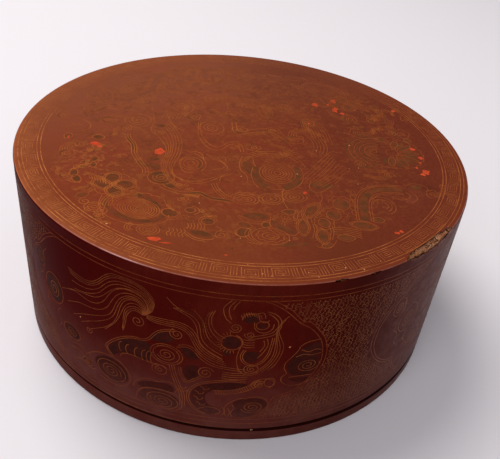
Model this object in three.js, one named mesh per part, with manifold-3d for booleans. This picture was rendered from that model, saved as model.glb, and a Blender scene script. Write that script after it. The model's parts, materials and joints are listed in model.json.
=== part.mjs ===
// A round lacquered wooden box: a low base with an upright collar, and a deep lid that drops over it.
// Lengths are in millimetres, +Z is up and z = 0 is the table. -Y is the front, and
// angles round the box are counted from the front towards +X.
import * as THREE from "three";
import { mergeVertices } from "three/addons/utils/BufferGeometryUtils.js";
import Module from "manifold-3d";

const wasm = await Module();
wasm.setup();

// Driving sizes of the whole box
const box_radius = 115;
const box_height = 97;
const band_height = 8;
const collar_stand = 34;
const lid_seat_gap = 0.3;
const collar_clearance = 0.6;

// Layers of the wall, from the outside in
const outer_coat = 0.7;
const ground_layer = 0.8;
const ply_thickness = 1.7;
const lining_coat = 0.6;
const layer_gap = 0.2;
const coat_seam = 0.1;

// Rounded edges
const lid_corner_round = 1.2;
const mouth_round = 0.9;
const seat_round = 0.9;
const foot_round = 1.1;
const lip_round = 0.9;

// The top coat turns down over the corner as far as the first gold line
const coat_lip = 5.5;

// Boards of the lid top and of the base floor, which run from front to back
const lid_board_thickness = 6;
const lid_centre_board_share = 0.385;
const base_board_thickness = 5;
const base_centre_board_share = 0.37;
const board_edge_gap = 0.4;
const glue_line = 0.2;
const foot_recess = 1.2;

// Bamboo pins between the boards
const pin_radius = 1.2;
const pin_length = 22;
const pin_clearance = 0.15;
const pin_end_gap = 0.3;
const pin_place_share = 0.55;

// Bent hoops
const corner_hoop_size = 7;
const corner_hoop_nose = 0.9;
const mouth_hoop_height = 6;
const scarf_gap = 1;

// The chip in the rim of the lid, by the right front
const chip_width = 4.6;
const chip_drop = 2.6;
const chip_start_angle = THREE.MathUtils.degToRad(38.5);
const chip_end_angle = THREE.MathUtils.degToRad(56.7);
const chip_outline_shares = [
  [0, 0],
  [0.1, 0.35],
  [0.24, 0.5],
  [0.36, 0.8],
  [0.52, 1],
  [0.66, 0.86],
  [0.78, 0.62],
  [0.92, 0.38],
  [1, 0],
];
const ground_chip_share = 0.6;
const cut_overrun = 1;

// Steps round a full turn, round one side of a board, along a rounded edge and round a pin
const round_steps = 60;
const board_steps = 20;
const edge_steps = 2;
const pin_steps = 12;

// Radii and heights that follow from the sizes above
const coat_inside = box_radius - outer_coat;
const ground_outside = coat_inside - layer_gap;
const ground_inside = ground_outside - ground_layer;
const wall_outside = ground_inside - layer_gap;
const ply_step = ply_thickness + layer_gap;
const wall_inside = wall_outside - ply_step - ply_thickness;
const lining_outside = wall_inside - layer_gap;
const lid_bore = lining_outside - lining_coat;

const collar_outside = lid_bore - collar_clearance;
const collar_wood_outside = collar_outside - lining_coat - layer_gap;
const collar_wood_inside = collar_wood_outside - ply_step - ply_thickness;
const well_radius = collar_wood_inside - layer_gap - lining_coat;
const collar_top = band_height + collar_stand;
const collar_wood_top = collar_top - lining_coat - layer_gap;
const ledge_inside = collar_wood_outside + layer_gap;

const wood_foot = outer_coat + layer_gap;
const base_board_bottom = foot_recess + lining_coat + layer_gap;
const base_board_top = base_board_bottom + base_board_thickness;
const well_floor = base_board_top + layer_gap + lining_coat;

const lid_mouth = band_height + lid_seat_gap;
const lid_wood_foot = lid_mouth + outer_coat + layer_gap;
const ground_top = box_height - outer_coat - layer_gap;
const lid_wood_top = ground_top - ground_layer - layer_gap;
const lid_board_bottom = lid_wood_top - lid_board_thickness;
const corner_hoop_top = lid_board_bottom - layer_gap;
const coat_lip_end = box_height - coat_lip;

function finish(color, roughness) {
  return new THREE.MeshStandardMaterial({ color, roughness, metalness: 0 });
}

const warm_lacquer = finish(0x8a4426, 0.32);
const red_lacquer = finish(0x4a1418, 0.2);
const black_lacquer = finish(0x140d0c, 0.25);
const ash_ground = finish(0x6f5236, 0.9);
const bent_wood = finish(0xa98556, 0.7);
const board_wood = finish(0x9c7648, 0.75);
const bamboo = finish(0xcdb377, 0.6);

// A quarter turn of a rounded edge, as points from one angle to the next.
function rounded(centre_radius, centre_height, radius, from_angle, to_angle) {
  return Array.from({ length: edge_steps + 1 }, (_, i) => {
    const angle = THREE.MathUtils.degToRad(
      THREE.MathUtils.lerp(from_angle, to_angle, i / edge_steps),
    );
    return [
      centre_radius + radius * Math.cos(angle),
      centre_height + radius * Math.sin(angle),
    ];
  });
}

// The same path moved to its left by a thickness, with mitred corners.
function moved_left(path, thickness) {
  const normals = path.slice(1).map(([r, z], i) => {
    const along = new THREE.Vector2(r - path[i][0], z - path[i][1]).normalize();
    return new THREE.Vector2(-along.y, along.x);
  });
  return path.map(([r, z], i) => {
    const before = normals[Math.max(i - 1, 0)];
    const after = normals[Math.min(i, normals.length - 1)];
    const mitre = before.clone().add(after);
    mitre.multiplyScalar((2 * thickness) / mitre.lengthSq());
    return [r + mitre.x, z + mitre.y];
  });
}

// A coat of even thickness behind a path that is its outer face, as a closed section.
function coat_section(path, thickness) {
  const back = moved_left(path, thickness).reverse();
  const starts_on_axis = path[0][0] === 0;
  return starts_on_axis ? [...path, ...back] : [...back, ...path];
}

// A section of [radius, height] points, anticlockwise, turned round the box's axis.
function turned(section) {
  const points = section.map(([r, z]) => new THREE.Vector2(r, z));
  if (section[0][0] !== 0) points.push(points[0].clone());
  return new THREE.LatheGeometry(points, round_steps).rotateX(Math.PI / 2);
}

// An outline raised from one height to another, its arcs drawn in a number of steps each.
function raised(shape, bottom, top, arc_steps) {
  const settings = { depth: top - bottom, bevelEnabled: false, curveSegments: arc_steps / 2 };
  return new THREE.ExtrudeGeometry(shape, settings).translate(0, 0, bottom);
}

// A strip of wood bent into a hoop, its two ends meeting in a scarf joint one step long.
function bent_hoop(inside, outside, bottom, top, joint_angle) {
  const slant = (2 * Math.PI) / round_steps;
  const end_angle = joint_angle + 2 * Math.PI - scarf_gap / outside;
  const shape = new THREE.Shape();
  shape.absarc(0, 0, outside, joint_angle, end_angle, false);
  shape.absarc(0, 0, inside, end_angle + slant, joint_angle + slant, true);
  return raised(shape, bottom, top, round_steps);
}

// The slice of a round board between two straight edges; an edge left out is the round side.
function board(radius, left_edge, right_edge, bottom, top) {
  const left_angle = left_edge === null ? Math.PI : Math.acos(left_edge / radius);
  const right_angle = right_edge === null ? 0 : Math.acos(right_edge / radius);
  const shape = new THREE.Shape();
  shape.absarc(0, 0, radius, right_angle, left_angle, false);
  shape.absarc(0, 0, radius, 2 * Math.PI - left_angle, 2 * Math.PI - right_angle, false);
  return raised(shape, bottom, top, board_steps);
}

function crosswise_rod(radius, length, x, y, z) {
  return new THREE.CylinderGeometry(radius, radius, length, pin_steps)
    .rotateZ(Math.PI / 2)
    .translate(x, y, z);
}

function solid(geometry) {
  const bare = geometry.clone();
  bare.deleteAttribute("normal");
  bare.deleteAttribute("uv");
  const merged = mergeVertices(bare);
  return new wasm.Manifold(
    new wasm.Mesh({
      numProp: 3,
      vertProperties: merged.attributes.position.array,
      triVerts: new Uint32Array(merged.index.array),
    }),
  );
}

function cut(geometry, tools) {
  const left = tools.reduce((rest, tool) => rest.subtract(solid(tool)), solid(geometry));
  const mesh = left.getMesh();
  return new THREE.BufferGeometry()
    .setAttribute("position", new THREE.BufferAttribute(mesh.vertProperties, 3))
    .setIndex(new THREE.BufferAttribute(mesh.triVerts, 1))
    .toNonIndexed();
}

// The volume that the chip took off the rim, smaller by a share for the deeper layers.
function chip(share) {
  const reach = box_radius + cut_overrun;
  const place = (angle, radius) =>
    new THREE.Vector2(radius * Math.sin(angle), -radius * Math.cos(angle));
  const middle = (chip_start_angle + chip_end_angle) / 2;
  const half = (share * (chip_end_angle - chip_start_angle)) / 2;
  const angle_at = (along) => middle + half * (2 * along - 1);
  const inner = chip_outline_shares.map(([along, depth]) =>
    place(angle_at(along), box_radius - share * depth * chip_width),
  );
  const outer = chip_outline_shares.map(([along]) => place(angle_at(along), reach));
  const shape = new THREE.Shape([...inner.reverse(), ...outer]);
  return raised(shape, box_height - share * chip_drop, box_height + cut_overrun, board_steps);
}

const box = new THREE.Group();
const base = new THREE.Group();
const lid = new THREE.Group();
box.add(base, lid);

function add(group, name, geometry, material) {
  geometry.computeVertexNormals();
  const mesh = new THREE.Mesh(geometry, material);
  mesh.name = name;
  group.add(mesh);
}

// Three boards side by side, pinned to each other across both of their joints.
function pinned_boards(group, prefix, radius, centre_share, bottom, top) {
  const half = centre_share * radius;
  const edge = half + glue_line;
  const pin_height = (bottom + top) / 2;
  const pin_place = pin_place_share * radius;
  const hole_length = pin_length + 2 * pin_end_gap;
  const places = [-edge, edge].flatMap((x) => [
    [x, -pin_place],
    [x, pin_place],
  ]);
  const holes = places.map(([x, y]) =>
    crosswise_rod(pin_radius + pin_clearance, hole_length, x, y, pin_height),
  );
  const slices = {
    left: board(radius, null, -edge, bottom, top),
    centre: board(radius, -half, half, bottom, top),
    right: board(radius, edge, null, bottom, top),
  };
  for (const [side, slice] of Object.entries(slices)) {
    add(group, `${prefix}_board_${side}`, cut(slice, holes), board_wood);
  }
  places.forEach(([x, y], i) => {
    const pin = crosswise_rod(pin_radius, pin_length, x, y, pin_height);
    add(group, `${prefix}_board_pin_${i + 1}`, pin, bamboo);
  });
}

// Base: floor boards, the two plies of the collar and the ledge hoop round its foot
pinned_boards(
  base,
  "base",
  collar_wood_inside - board_edge_gap,
  base_centre_board_share,
  base_board_bottom,
  base_board_top,
);

add(
  base,
  "collar_hoop_outer",
  bent_hoop(
    collar_wood_outside - ply_thickness,
    collar_wood_outside,
    wood_foot,
    collar_wood_top,
    0,
  ),
  bent_wood,
);

add(
  base,
  "collar_hoop_inner",
  bent_hoop(
    collar_wood_inside,
    collar_wood_inside + ply_thickness,
    wood_foot,
    collar_wood_top,
    Math.PI,
  ),
  bent_wood,
);

add(
  base,
  "ledge_hoop",
  bent_hoop(
    ledge_inside,
    ground_outside,
    wood_foot,
    band_height - outer_coat - layer_gap,
    Math.PI / 2,
  ),
  bent_wood,
);

// Base coats: the red band with the seat and foot, the underside, and the lined well and collar
const band_face = [
  [well_radius, base_board_bottom - layer_gap],
  [well_radius, 0],
  ...rounded(box_radius - foot_round, foot_round, foot_round, -90, 0),
  ...rounded(box_radius - seat_round, band_height - seat_round, seat_round, 0, 90),
  [ledge_inside, band_height],
];
add(base, "base_band_coat", turned(coat_section(band_face, outer_coat)), red_lacquer);

const underside_face = [
  [0, foot_recess],
  [well_radius - layer_gap, foot_recess],
];
add(
  base,
  "base_underside_coat",
  turned(coat_section(underside_face, lining_coat)),
  black_lacquer,
);

const well_face = [
  [collar_outside, band_height + layer_gap],
  ...rounded(collar_outside - lip_round, collar_top - lip_round, lip_round, 0, 90),
  ...rounded(well_radius + lip_round, collar_top - lip_round, lip_round, 90, 180),
  [well_radius, well_floor],
  [0, well_floor],
];
add(base, "base_lining_coat", turned(coat_section(well_face, lining_coat)), black_lacquer);

// Lid: top boards, the two plies of the wall, and the hoops at its corner and its mouth
pinned_boards(
  lid,
  "lid",
  wall_inside - board_edge_gap,
  lid_centre_board_share,
  lid_board_bottom,
  lid_wood_top,
);

const mouth_hoop_top = lid_wood_foot + mouth_hoop_height;
add(
  lid,
  "lid_wall_hoop_outer",
  bent_hoop(
    wall_outside - ply_thickness,
    wall_outside,
    mouth_hoop_top + layer_gap,
    lid_wood_top,
    Math.PI / 2,
  ),
  bent_wood,
);

add(
  lid,
  "lid_wall_hoop_inner",
  bent_hoop(
    wall_inside,
    wall_inside + ply_thickness,
    mouth_hoop_top + layer_gap,
    lid_wood_top,
    -Math.PI / 2,
  ),
  bent_wood,
);

add(
  lid,
  "lid_mouth_hoop",
  bent_hoop(wall_inside, wall_outside, lid_wood_foot, mouth_hoop_top, Math.PI),
  bent_wood,
);

const corner_hoop_inside = lining_outside - corner_hoop_size;
const corner_hoop_bottom = corner_hoop_top - corner_hoop_size;
const corner_slope = [
  [corner_hoop_inside, corner_hoop_top - corner_hoop_nose],
  [lining_outside - corner_hoop_nose, corner_hoop_bottom],
];
add(
  lid,
  "lid_corner_hoop",
  turned([
    [corner_hoop_inside, corner_hoop_top],
    ...corner_slope,
    [lining_outside, corner_hoop_bottom],
    [lining_outside, corner_hoop_top],
  ]),
  bent_wood,
);

// Lid ground of cloth and ash, under the coats
const chipped_ground = [chip(ground_chip_share)];
add(
  lid,
  "lid_top_ground",
  cut(
    turned([
      [0, ground_top - ground_layer],
      [ground_outside, ground_top - ground_layer],
      [ground_outside, ground_top],
      [0, ground_top],
    ]),
    chipped_ground,
  ),
  ash_ground,
);

add(
  lid,
  "lid_side_ground",
  cut(
    turned([
      [ground_inside, lid_wood_foot],
      [ground_outside, lid_wood_foot],
      [ground_outside, lid_wood_top],
      [ground_inside, lid_wood_top],
    ]),
    chipped_ground,
  ),
  ash_ground,
);

// Lid coats: the warm brown top, the dark red side with the mouth, and the black lining
const top_face = [
  [box_radius, coat_lip_end],
  ...rounded(
    box_radius - lid_corner_round,
    box_height - lid_corner_round,
    lid_corner_round,
    0,
    90,
  ),
  [0, box_height],
];
add(
  lid,
  "lid_top_coat",
  cut(turned(coat_section(top_face, outer_coat)), [chip(1)]),
  warm_lacquer,
);

const side_face = [
  [lid_bore, lid_mouth],
  ...rounded(box_radius - mouth_round, lid_mouth + mouth_round, mouth_round, -90, 0),
  [box_radius, coat_lip_end - coat_seam],
];
add(lid, "lid_side_coat", turned(coat_section(side_face, outer_coat)), red_lacquer);

const lining_back = [
  [0, corner_hoop_top],
  [corner_hoop_inside - layer_gap, corner_hoop_top],
  ...corner_slope.map(([r, z]) => [r - layer_gap, z - layer_gap]),
  [lining_outside, corner_hoop_bottom - layer_gap],
  [lining_outside, lid_wood_foot],
];
const lining_face = moved_left(lining_back, -lining_coat);
add(
  lid,
  "lid_lining_coat",
  turned([...lining_face, ...lining_back.reverse()]),
  black_lacquer,
);

export default box;
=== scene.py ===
"""The looks of a round lacquered wooden box with a deep lid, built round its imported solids.

The ornament is drawn flat, in millimetres for a box of 115 mm radius. The side's sheet has x along
the arc from the front and y down from the lid's top, and the top's sheet has x to the right and y to
the back. Each drawing becomes thin lines and fills, a few hundredths of a millimetre proud, that are
then laid on the lid.
"""

import json
import math
import random

import bmesh
import bpy
from mathutils import Matrix, Vector, noise
from mathutils.geometry import interpolate_bezier


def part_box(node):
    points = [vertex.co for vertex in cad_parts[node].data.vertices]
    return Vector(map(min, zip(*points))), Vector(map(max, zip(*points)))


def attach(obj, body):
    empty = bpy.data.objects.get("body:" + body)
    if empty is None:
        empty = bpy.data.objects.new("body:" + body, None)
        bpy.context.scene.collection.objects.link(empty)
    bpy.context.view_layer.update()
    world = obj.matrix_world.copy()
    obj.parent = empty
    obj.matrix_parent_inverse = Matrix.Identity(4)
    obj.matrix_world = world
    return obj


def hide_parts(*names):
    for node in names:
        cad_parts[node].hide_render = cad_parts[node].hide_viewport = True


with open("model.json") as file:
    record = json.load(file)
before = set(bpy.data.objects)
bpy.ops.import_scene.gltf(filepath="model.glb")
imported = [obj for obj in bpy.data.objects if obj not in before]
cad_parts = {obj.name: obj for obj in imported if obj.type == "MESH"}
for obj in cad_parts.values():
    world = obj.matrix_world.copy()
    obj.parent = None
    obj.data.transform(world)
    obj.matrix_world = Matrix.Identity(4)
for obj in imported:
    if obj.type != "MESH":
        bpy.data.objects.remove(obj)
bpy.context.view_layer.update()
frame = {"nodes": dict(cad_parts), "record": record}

# The box's main places, in metres, from its solids
side_low, side_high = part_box("lid_side_coat")
top_low, top_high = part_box("lid_top_coat")
well_low, well_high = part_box("base_lining_coat")
band_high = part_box("base_band_coat")[1]

# One millimetre of the drawings, and the gap between two layers
DRAWN_RADIUS = 115
MM = side_high.x / DRAWN_RADIUS
LAYER_GAP = 0.2

# The same places in drawn millimetres
TOP = top_high.z / MM
LIP_END = top_low.z / MM
MOUTH = side_low.z / MM
BAND_TOP = band_high.z / MM
COLLAR_TOP = well_high.z / MM
COLLAR_OUTSIDE = well_high.x / MM
WELL_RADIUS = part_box("base_underside_coat")[1].x / MM + LAYER_GAP
FOOT_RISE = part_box("base_underside_coat")[1].z / MM

# Coats, as thick as their solids, with their faces a hair inside them to leave room for the lines
SKIN_DROP = 0.07
SKIN_RADIUS = DRAWN_RADIUS - SKIN_DROP
SKIN_TOP = TOP - SKIN_DROP
OUTER_COAT = 0.7
LINING_COAT = 0.6
COAT_SEAM = 0.1
CORNER_ROUND = 1.2
MOUTH_ROUND = 0.9
SEAT_ROUND = 0.9
FOOT_ROUND = 1.1
LIP_ROUND = 0.9
CORNER_HOOP_NOSE = 0.9
HOLDING_RING = 0.35
SEAM_SLANT = 0.008
SHARP = math.radians(30)

# Ornament
QUARTER = math.tau * DRAWN_RADIUS / 4
LINE_WIDTH = 0.35
FINE_WIDTH = 0.3
FRAME_WIDTH = 0.44
TOP_LINE_WIDTH = 0.32
TOP_FINE_WIDTH = 0.27
LINE_LIFT = 0.03
LINE_FLATNESS = 0.12
FILL_LIFT = 0.015
FILL_DEPTH = 0.08
FILL_STEP = 3
FILL_RISE = 0.003
FILL_LEVELS = 6
SPECK_LIFT = 0.05
SPIRAL_EYE = 0.12
SPIRAL_STEPS = 12


def colour(red, green, blue):
    """A colour given as on a screen, as the linear values that a shader takes."""
    parts = [value / 255 for value in (red, green, blue)]
    return [part / 12.92 if part < 0.04045 else ((part + 0.055) / 1.055) ** 2.4 for part in parts] + [1]


class Link:
    """A socket that sums and products can be written with."""

    def __init__(self, finish, socket):
        self.finish = finish
        self.socket = socket

    def sum(self, operation, first, second):
        return self.finish.node("ShaderNodeMath", {"operation": operation}, {0: first, 1: second})

    def __add__(self, other):
        return self.sum("ADD", self, other)

    def __sub__(self, other):
        return self.sum("SUBTRACT", self, other)

    def __mul__(self, other):
        return self.sum("MULTIPLY", self, other)


class Finish:
    """A material made of nodes round one shader."""

    def __init__(self, name):
        self.material = bpy.data.materials.new(name)
        self.material.use_nodes = True
        self.tree = self.material.node_tree
        self.shader = self.tree.nodes["Principled BSDF"]
        self.place = self.node("ShaderNodeTexCoord", output="Object")

    def node(self, kind, settings=None, inputs=None, output=0):
        made = self.tree.nodes.new(kind)
        for key, value in (settings or {}).items():
            setattr(made, key, value)
        for key, value in (inputs or {}).items():
            self.feed(made.inputs[key], value)
        return Link(self, made.outputs[output])

    def feed(self, socket, value):
        if isinstance(value, Link):
            self.tree.links.new(value.socket, socket)
        else:
            socket.default_value = value

    def set(self, **inputs):
        for key, value in inputs.items():
            self.feed(self.shader.inputs[key.replace("_", " ")], value)
        return self

    def noise(self, size, detail=4, rough=0.5, stretch=(1, 1, 1), warp=0):
        """Soft noise whose blotches are about a size across, in drawn millimetres."""
        placed = self.node(
            "ShaderNodeMapping",
            {"vector_type": "POINT"},
            {"Vector": self.place, "Scale": [1 / (MM * size * part) for part in stretch]},
        )
        return self.node(
            "ShaderNodeTexNoise",
            inputs={
                "Vector": placed,
                "Scale": 1,
                "Detail": detail,
                "Roughness": rough,
                "Distortion": warp,
            },
        )

    def between(self, value, low, high, start=0, end=1):
        """A value's way from low to high as a smooth step from start to end."""
        return self.node(
            "ShaderNodeMapRange",
            {"interpolation_type": "SMOOTHSTEP"},
            {"Value": value, "From Min": low, "From Max": high, "To Min": start, "To Max": end},
        )

    def along(self, name, low, high, start=0, end=1):
        """The way along an axis from low to high, in drawn millimetres, as a smooth step."""
        return self.between(self.axis(name), low * MM, high * MM, start, end)

    def within(self, low, high):
        """The way in from the rim, or out to it, from one distance to another in drawn millimetres."""
        return self.between(self.radius(), DRAWN_RADIUS - low, DRAWN_RADIUS - high)

    def mix(self, factor, first, second):
        return self.node(
            "ShaderNodeMix",
            {"data_type": "RGBA", "clamp_factor": True},
            {0: factor, 6: first, 7: second},
            output=2,
        )

    def near(self, x, y, reach, z=TOP):
        """One at a place, on the lid's top if no height is given, and nought beyond a reach."""
        away = self.node(
            "ShaderNodeVectorMath",
            {"operation": "DISTANCE"},
            {0: self.place, 1: (x * MM, y * MM, z * MM)},
            output="Value",
        )
        return self.between(away, reach * MM, 0)

    def layered(self, base, *layers):
        """Colours laid over a base one after another, each as strong as its mask."""
        for mask, tone in layers:
            base = self.mix(mask, base, tone)
        return base

    def bump(self, height, distance, strength=1):
        return self.node(
            "ShaderNodeBump",
            inputs={"Height": height, "Distance": distance * MM, "Strength": strength},
        )

    def axis(self, name):
        return self.node("ShaderNodeSeparateXYZ", inputs={0: self.place}, output=name)

    def radius(self):
        """How far a place is from the box's axis, in drawn millimetres."""
        flat = self.node(
            "ShaderNodeVectorMath",
            {"operation": "MULTIPLY"},
            {0: self.place, 1: (1 / MM, 1 / MM, 0)},
        )
        return self.node("ShaderNodeVectorMath", {"operation": "LENGTH"}, {0: flat}, output="Value")


def red_ground(finish):
    """The dark red lacquer's colour: maroon, with browner clouds, fine streaks, scuffs and dust, and
    painted reflection, shade and highlight.
    """
    clouds = finish.between(finish.noise(34, 3, 0.55), 0.38, 0.66)
    streaks = finish.between(finish.noise(3.2, 3, 0.6, (1, 1, 5)), 0.35, 0.7)
    specks = finish.between(finish.noise(0.9, 2, 0.6), 0.66, 0.74)
    # Scuffs with a painted reflection at the right flank, paler and greyer
    scuffs_and_reflection = finish.between(finish.noise(4, 5, 0.7, (1, 9, 1), 0.4), 0.34, 0.68, 0.5, 1)
    scuffs_and_reflection = scuffs_and_reflection * finish.along("X", 52, 104)
    panel = finish.near(86, -76, 16, 49) * finish.between(finish.noise(5, 4, 0.7), 0.4, 0.62)
    # Painted shade: the side darker and redder at the upper left
    deep = finish.along("Z", 44, 74) * finish.along("X", -20, -66)
    # Dust with a painted reflection of the floor, paler and greyer towards the foot
    dust_and_reflection = finish.between(finish.noise(11, 4, 0.65), 0.3, 0.7, 0.36, 0.64)
    dust_and_reflection = dust_and_reflection * finish.along("Z", 58, 16)

    # The highlight painted on the rounded edge over the lid's mouth, broken up like rubbing, and the shade
    # painted in the dark seam under it, which widens to the left
    rubbed = finish.between(finish.noise(6, 4, 0.7), 0.4, 0.6, 0.3, 1)
    edge = finish.along("Z", MOUTH + 0.5, MOUTH + 0.9) * finish.along("Z", MOUTH + 1.9, MOUTH + 1.3)
    edge = edge * finish.along("X", 20, -30)
    slant = finish.axis("X") * SEAM_SLANT
    seam_shade = finish.between(finish.axis("Z") + slant, (BAND_TOP - 1.3) * MM, (BAND_TOP - 0.8) * MM)
    seam_shade = seam_shade * finish.between(finish.axis("Z") - slant, (MOUTH + 0.7) * MM, (MOUTH + 0.2) * MM)
    seam_shade = seam_shade * finish.within(3, 2)
    return finish.layered(
        finish.mix(clouds, colour(70, 11, 7), colour(80, 20, 12)),
        (streaks * 0.35, colour(58, 8, 6)),
        (specks * 0.5, colour(98, 40, 24)),
        # Painted shade: the side darker across its right middle
        (finish.along("X", 20, 60) * 0.7, colour(54, 15, 10)),
        (scuffs_and_reflection, colour(120, 86, 82)),
        (panel * 0.6, colour(58, 36, 32)),
        (deep * 0.84, colour(60, 2, 1)),
        (dust_and_reflection, colour(100, 59, 52)),
        # painted highlight on the lid's mouth
        (edge * rubbed * 0.6, colour(124, 70, 46)),
        # painted shade in the seam
        (seam_shade * 0.95, colour(28, 3, 2)),
    )


def red_lacquer():
    finish = Finish("dark red lacquer")
    return finish.set(
        Base_Color=red_ground(finish),
        Roughness=finish.between(finish.noise(26, 4, 0.6), 0.3, 0.75, 0.2, 0.34),
        Specular_IOR_Level=SIDE_GLOSS,
        Normal=finish.bump(finish.noise(6, 3, 0.5), 0.05, 0.35),
    ).material


def glare_back_left(finish):
    """Highest at the back left of the top, where painted glare makes it dull and greyer."""
    return finish.between(finish.axis("Y") - finish.axis("X") * 0.7, -20 * MM, 110 * MM) * 0.6


def warm_lacquer():
    """The lid's top: brown-orange, rubbed paler at the rim, with painted glare at the back left, painted
    shade at the right and a painted highlight on the rounded corner, and dark red below that corner.
    """
    finish = Finish("warm brown lacquer")
    clouds = finish.between(finish.noise(42, 4, 0.6), 0.36, 0.68)
    dull = finish.between(finish.noise(15, 5, 0.65), 0.4, 0.72)
    brushed = finish.between(finish.noise(2.4, 3, 0.6, (4, 1, 1)), 0.35, 0.7)
    specks = finish.between(finish.noise(0.8, 2, 0.5), 0.68, 0.74)
    grain = finish.between(finish.noise(1.3, 4, 0.8), 0.36, 0.64)
    # Painted shade: the top darker towards the right
    right = finish.axis("X") * 0.95 + finish.axis("Y") * 0.2
    painted_shade_right = finish.between(right, -40 * MM, 76 * MM)

    # Gold and dark rubbed together where the ornament is dense
    dense = finish.within(18, 31)
    rubbed = finish.between(finish.noise(3.4, 5, 0.72, (1, 1, 1), 0.5), 0.5, 0.64)
    sunk = finish.between(finish.noise(8, 5, 0.68, (1, 1, 1), 0.8), 0.52, 0.62)
    golden_places = [
        (finish.near(*place) * rubbed * 0.4, colour(126, 70, 34))
        for place in ((-52, -66, 34), (16, -76, 36), (-22, -82, 24), (60, -54, 26))
    ]

    # The worn rim, its margin outside the rings, its edge, and the highlight painted along the rounded
    # corner
    worn = finish.between(finish.noise(5, 5, 0.7), 0.35, 0.65)
    rim = finish.within(13, 5) * finish.along("X", 5, -85, 0.12, 1)
    margin = finish.within(2.3, 1.7) * finish.along("X", -80, 0)
    edge = finish.within(3.5, 1.5) * finish.along("X", -15, -70)
    corner = finish.along("Z", TOP - 0.12, TOP - 0.26)
    pale = finish.along("X", 40, -60, 0.4, 0.8) + finish.along("X", 80, 105) * 0.5
    corner_highlight = finish.mix(finish.along("X", -66, -88), colour(172, 110, 96), colour(184, 104, 60))
    corner_highlight = finish.mix(finish.near(-42, -107, 19), corner_highlight, colour(218, 170, 166))
    base = finish.layered(
        finish.mix(clouds, colour(116, 54, 31), colour(123, 50, 31)),
        (dull * 0.5, colour(110, 47, 27)),
        (brushed * 0.25, colour(116, 50, 28)),
        (painted_shade_right * 0.85, colour(92, 37, 25)),
        (glare_back_left(finish), GLARE_TONE),
        # painted shade at the back of the top
        (finish.near(28, 90, 62) * 0.6, colour(88, 40, 28)),
        (dense * sunk * 0.4, colour(86, 43, 25)),
        (dense * rubbed * 0.32, colour(146, 80, 38)),
        *golden_places,
        (specks * 0.6, colour(84, 40, 26)),
        (grain * 0.2, colour(138, 74, 44)),
        (finish.near(-70, -42, 30) * rubbed * 0.5, colour(164, 96, 50)),
        (finish.near(84, -40, 12) * dull * 0.6, colour(142, 74, 54)),
        (finish.near(90, -32, 9) * dull * 0.8, colour(78, 36, 22)),
        (rim * (worn * 0.3 + 0.2), colour(152, 84, 49)),
        # painted shade at the near right of the top
        (finish.near(48, -92, 46) * 0.6, colour(92, 42, 25)),
        (margin * 0.6, colour(112, 50, 30)),
        (edge * (worn * 0.4 + 0.3), colour(146, 79, 48)),
        # painted highlight along the rounded corner
        (corner * pale * (worn * 0.5 + 0.5), corner_highlight),
    )
    below = finish.along("Z", TOP - 0.32, TOP - 0.58)
    return finish.set(
        Base_Color=finish.mix(below, base, red_ground(finish)),
        Roughness=finish.between(finish.noise(20, 4, 0.6), 0.3, 0.7, 0.34, 0.46),
        Specular_IOR_Level=TOP_GLOSS,
        Normal=finish.bump(finish.noise(7, 4, 0.55), 0.06, 0.35),
    ).material


def black_lacquer():
    finish = Finish("black lacquer")
    haze = finish.between(finish.noise(18, 4, 0.6), 0.3, 0.7)
    scratches = finish.between(finish.noise(0.7, 2, 0.5, (1, 14, 1)), 0.64, 0.72)
    return finish.set(
        Base_Color=finish.mix(haze, colour(20, 13, 11), colour(34, 22, 18)),
        Roughness=haze * 0.1 + scratches * 0.2 + 0.22,
        Specular_IOR_Level=0.3,
        Normal=finish.bump(finish.noise(6, 3, 0.5), 0.05, 0.3),
    ).material


def far(finish):
    """Nought over the lid's near half, and one at its far rim, which is rubbed the most and where the lines
    fade into the painted glare.
    """
    return finish.between(finish.axis("Y") - finish.axis("X") * 0.4, 5 * MM, 72 * MM)


def faded(finish):
    """As far, and part of the way to one at the right of the top, where the lines are dull."""
    return far(finish) + finish.along("X", -25, 50) * 0.7


def aside(finish):
    """One at the box's right flank, which is scuffed and dusty and has a painted reflection."""
    return finish.along("X", 35, 95)


# The top's colour with its painted glare, which lost lines and fills fade into
def warm_tone(finish):
    return finish.mix(glare_back_left(finish), colour(116, 52, 29), GLARE_TONE)


def low(finish):
    """One near the foot, where the side is dusty and has a painted reflection."""
    return finish.along("Z", 42, 12)


def reflection_and_dust(finish):
    return aside(finish) + low(finish) * 0.5


# The side's coat with its painted reflection at the right flank and near the foot, which fills fade into
def red_tone(finish):
    tone = finish.mix(aside(finish), colour(76, 16, 10), colour(102, 68, 64))
    return finish.mix(low(finish) * 0.8, tone, colour(104, 62, 56))


# The colour that the side's lines fade into, with the same painted reflection
def line_tone(finish):
    tone = finish.mix(aside(finish), colour(84, 22, 12), colour(150, 112, 98))
    return finish.mix(low(finish) * 0.8, tone, colour(118, 72, 62))


def gold(name, bright, dull, coat, loss, wear_and_sheen, gloss):
    """Worn gold in the engraved lines, which in places is lost to the coat's colour."""
    finish = Finish(name)
    wear = finish.between(finish.noise(9, 5, 0.7), 0.34, 0.66)
    lost = finish.between(finish.noise(2.6, 5, 0.8), 0.49, 0.62)
    tone = coat(finish)
    layers = [(lost * loss, tone), (wear_and_sheen(finish) * 0.6, tone)]
    return finish.set(
        Base_Color=finish.layered(finish.mix(wear, bright, dull), *layers),
        Roughness=wear * 0.15 + 0.38,
        Specular_IOR_Level=gloss,
    ).material


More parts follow.
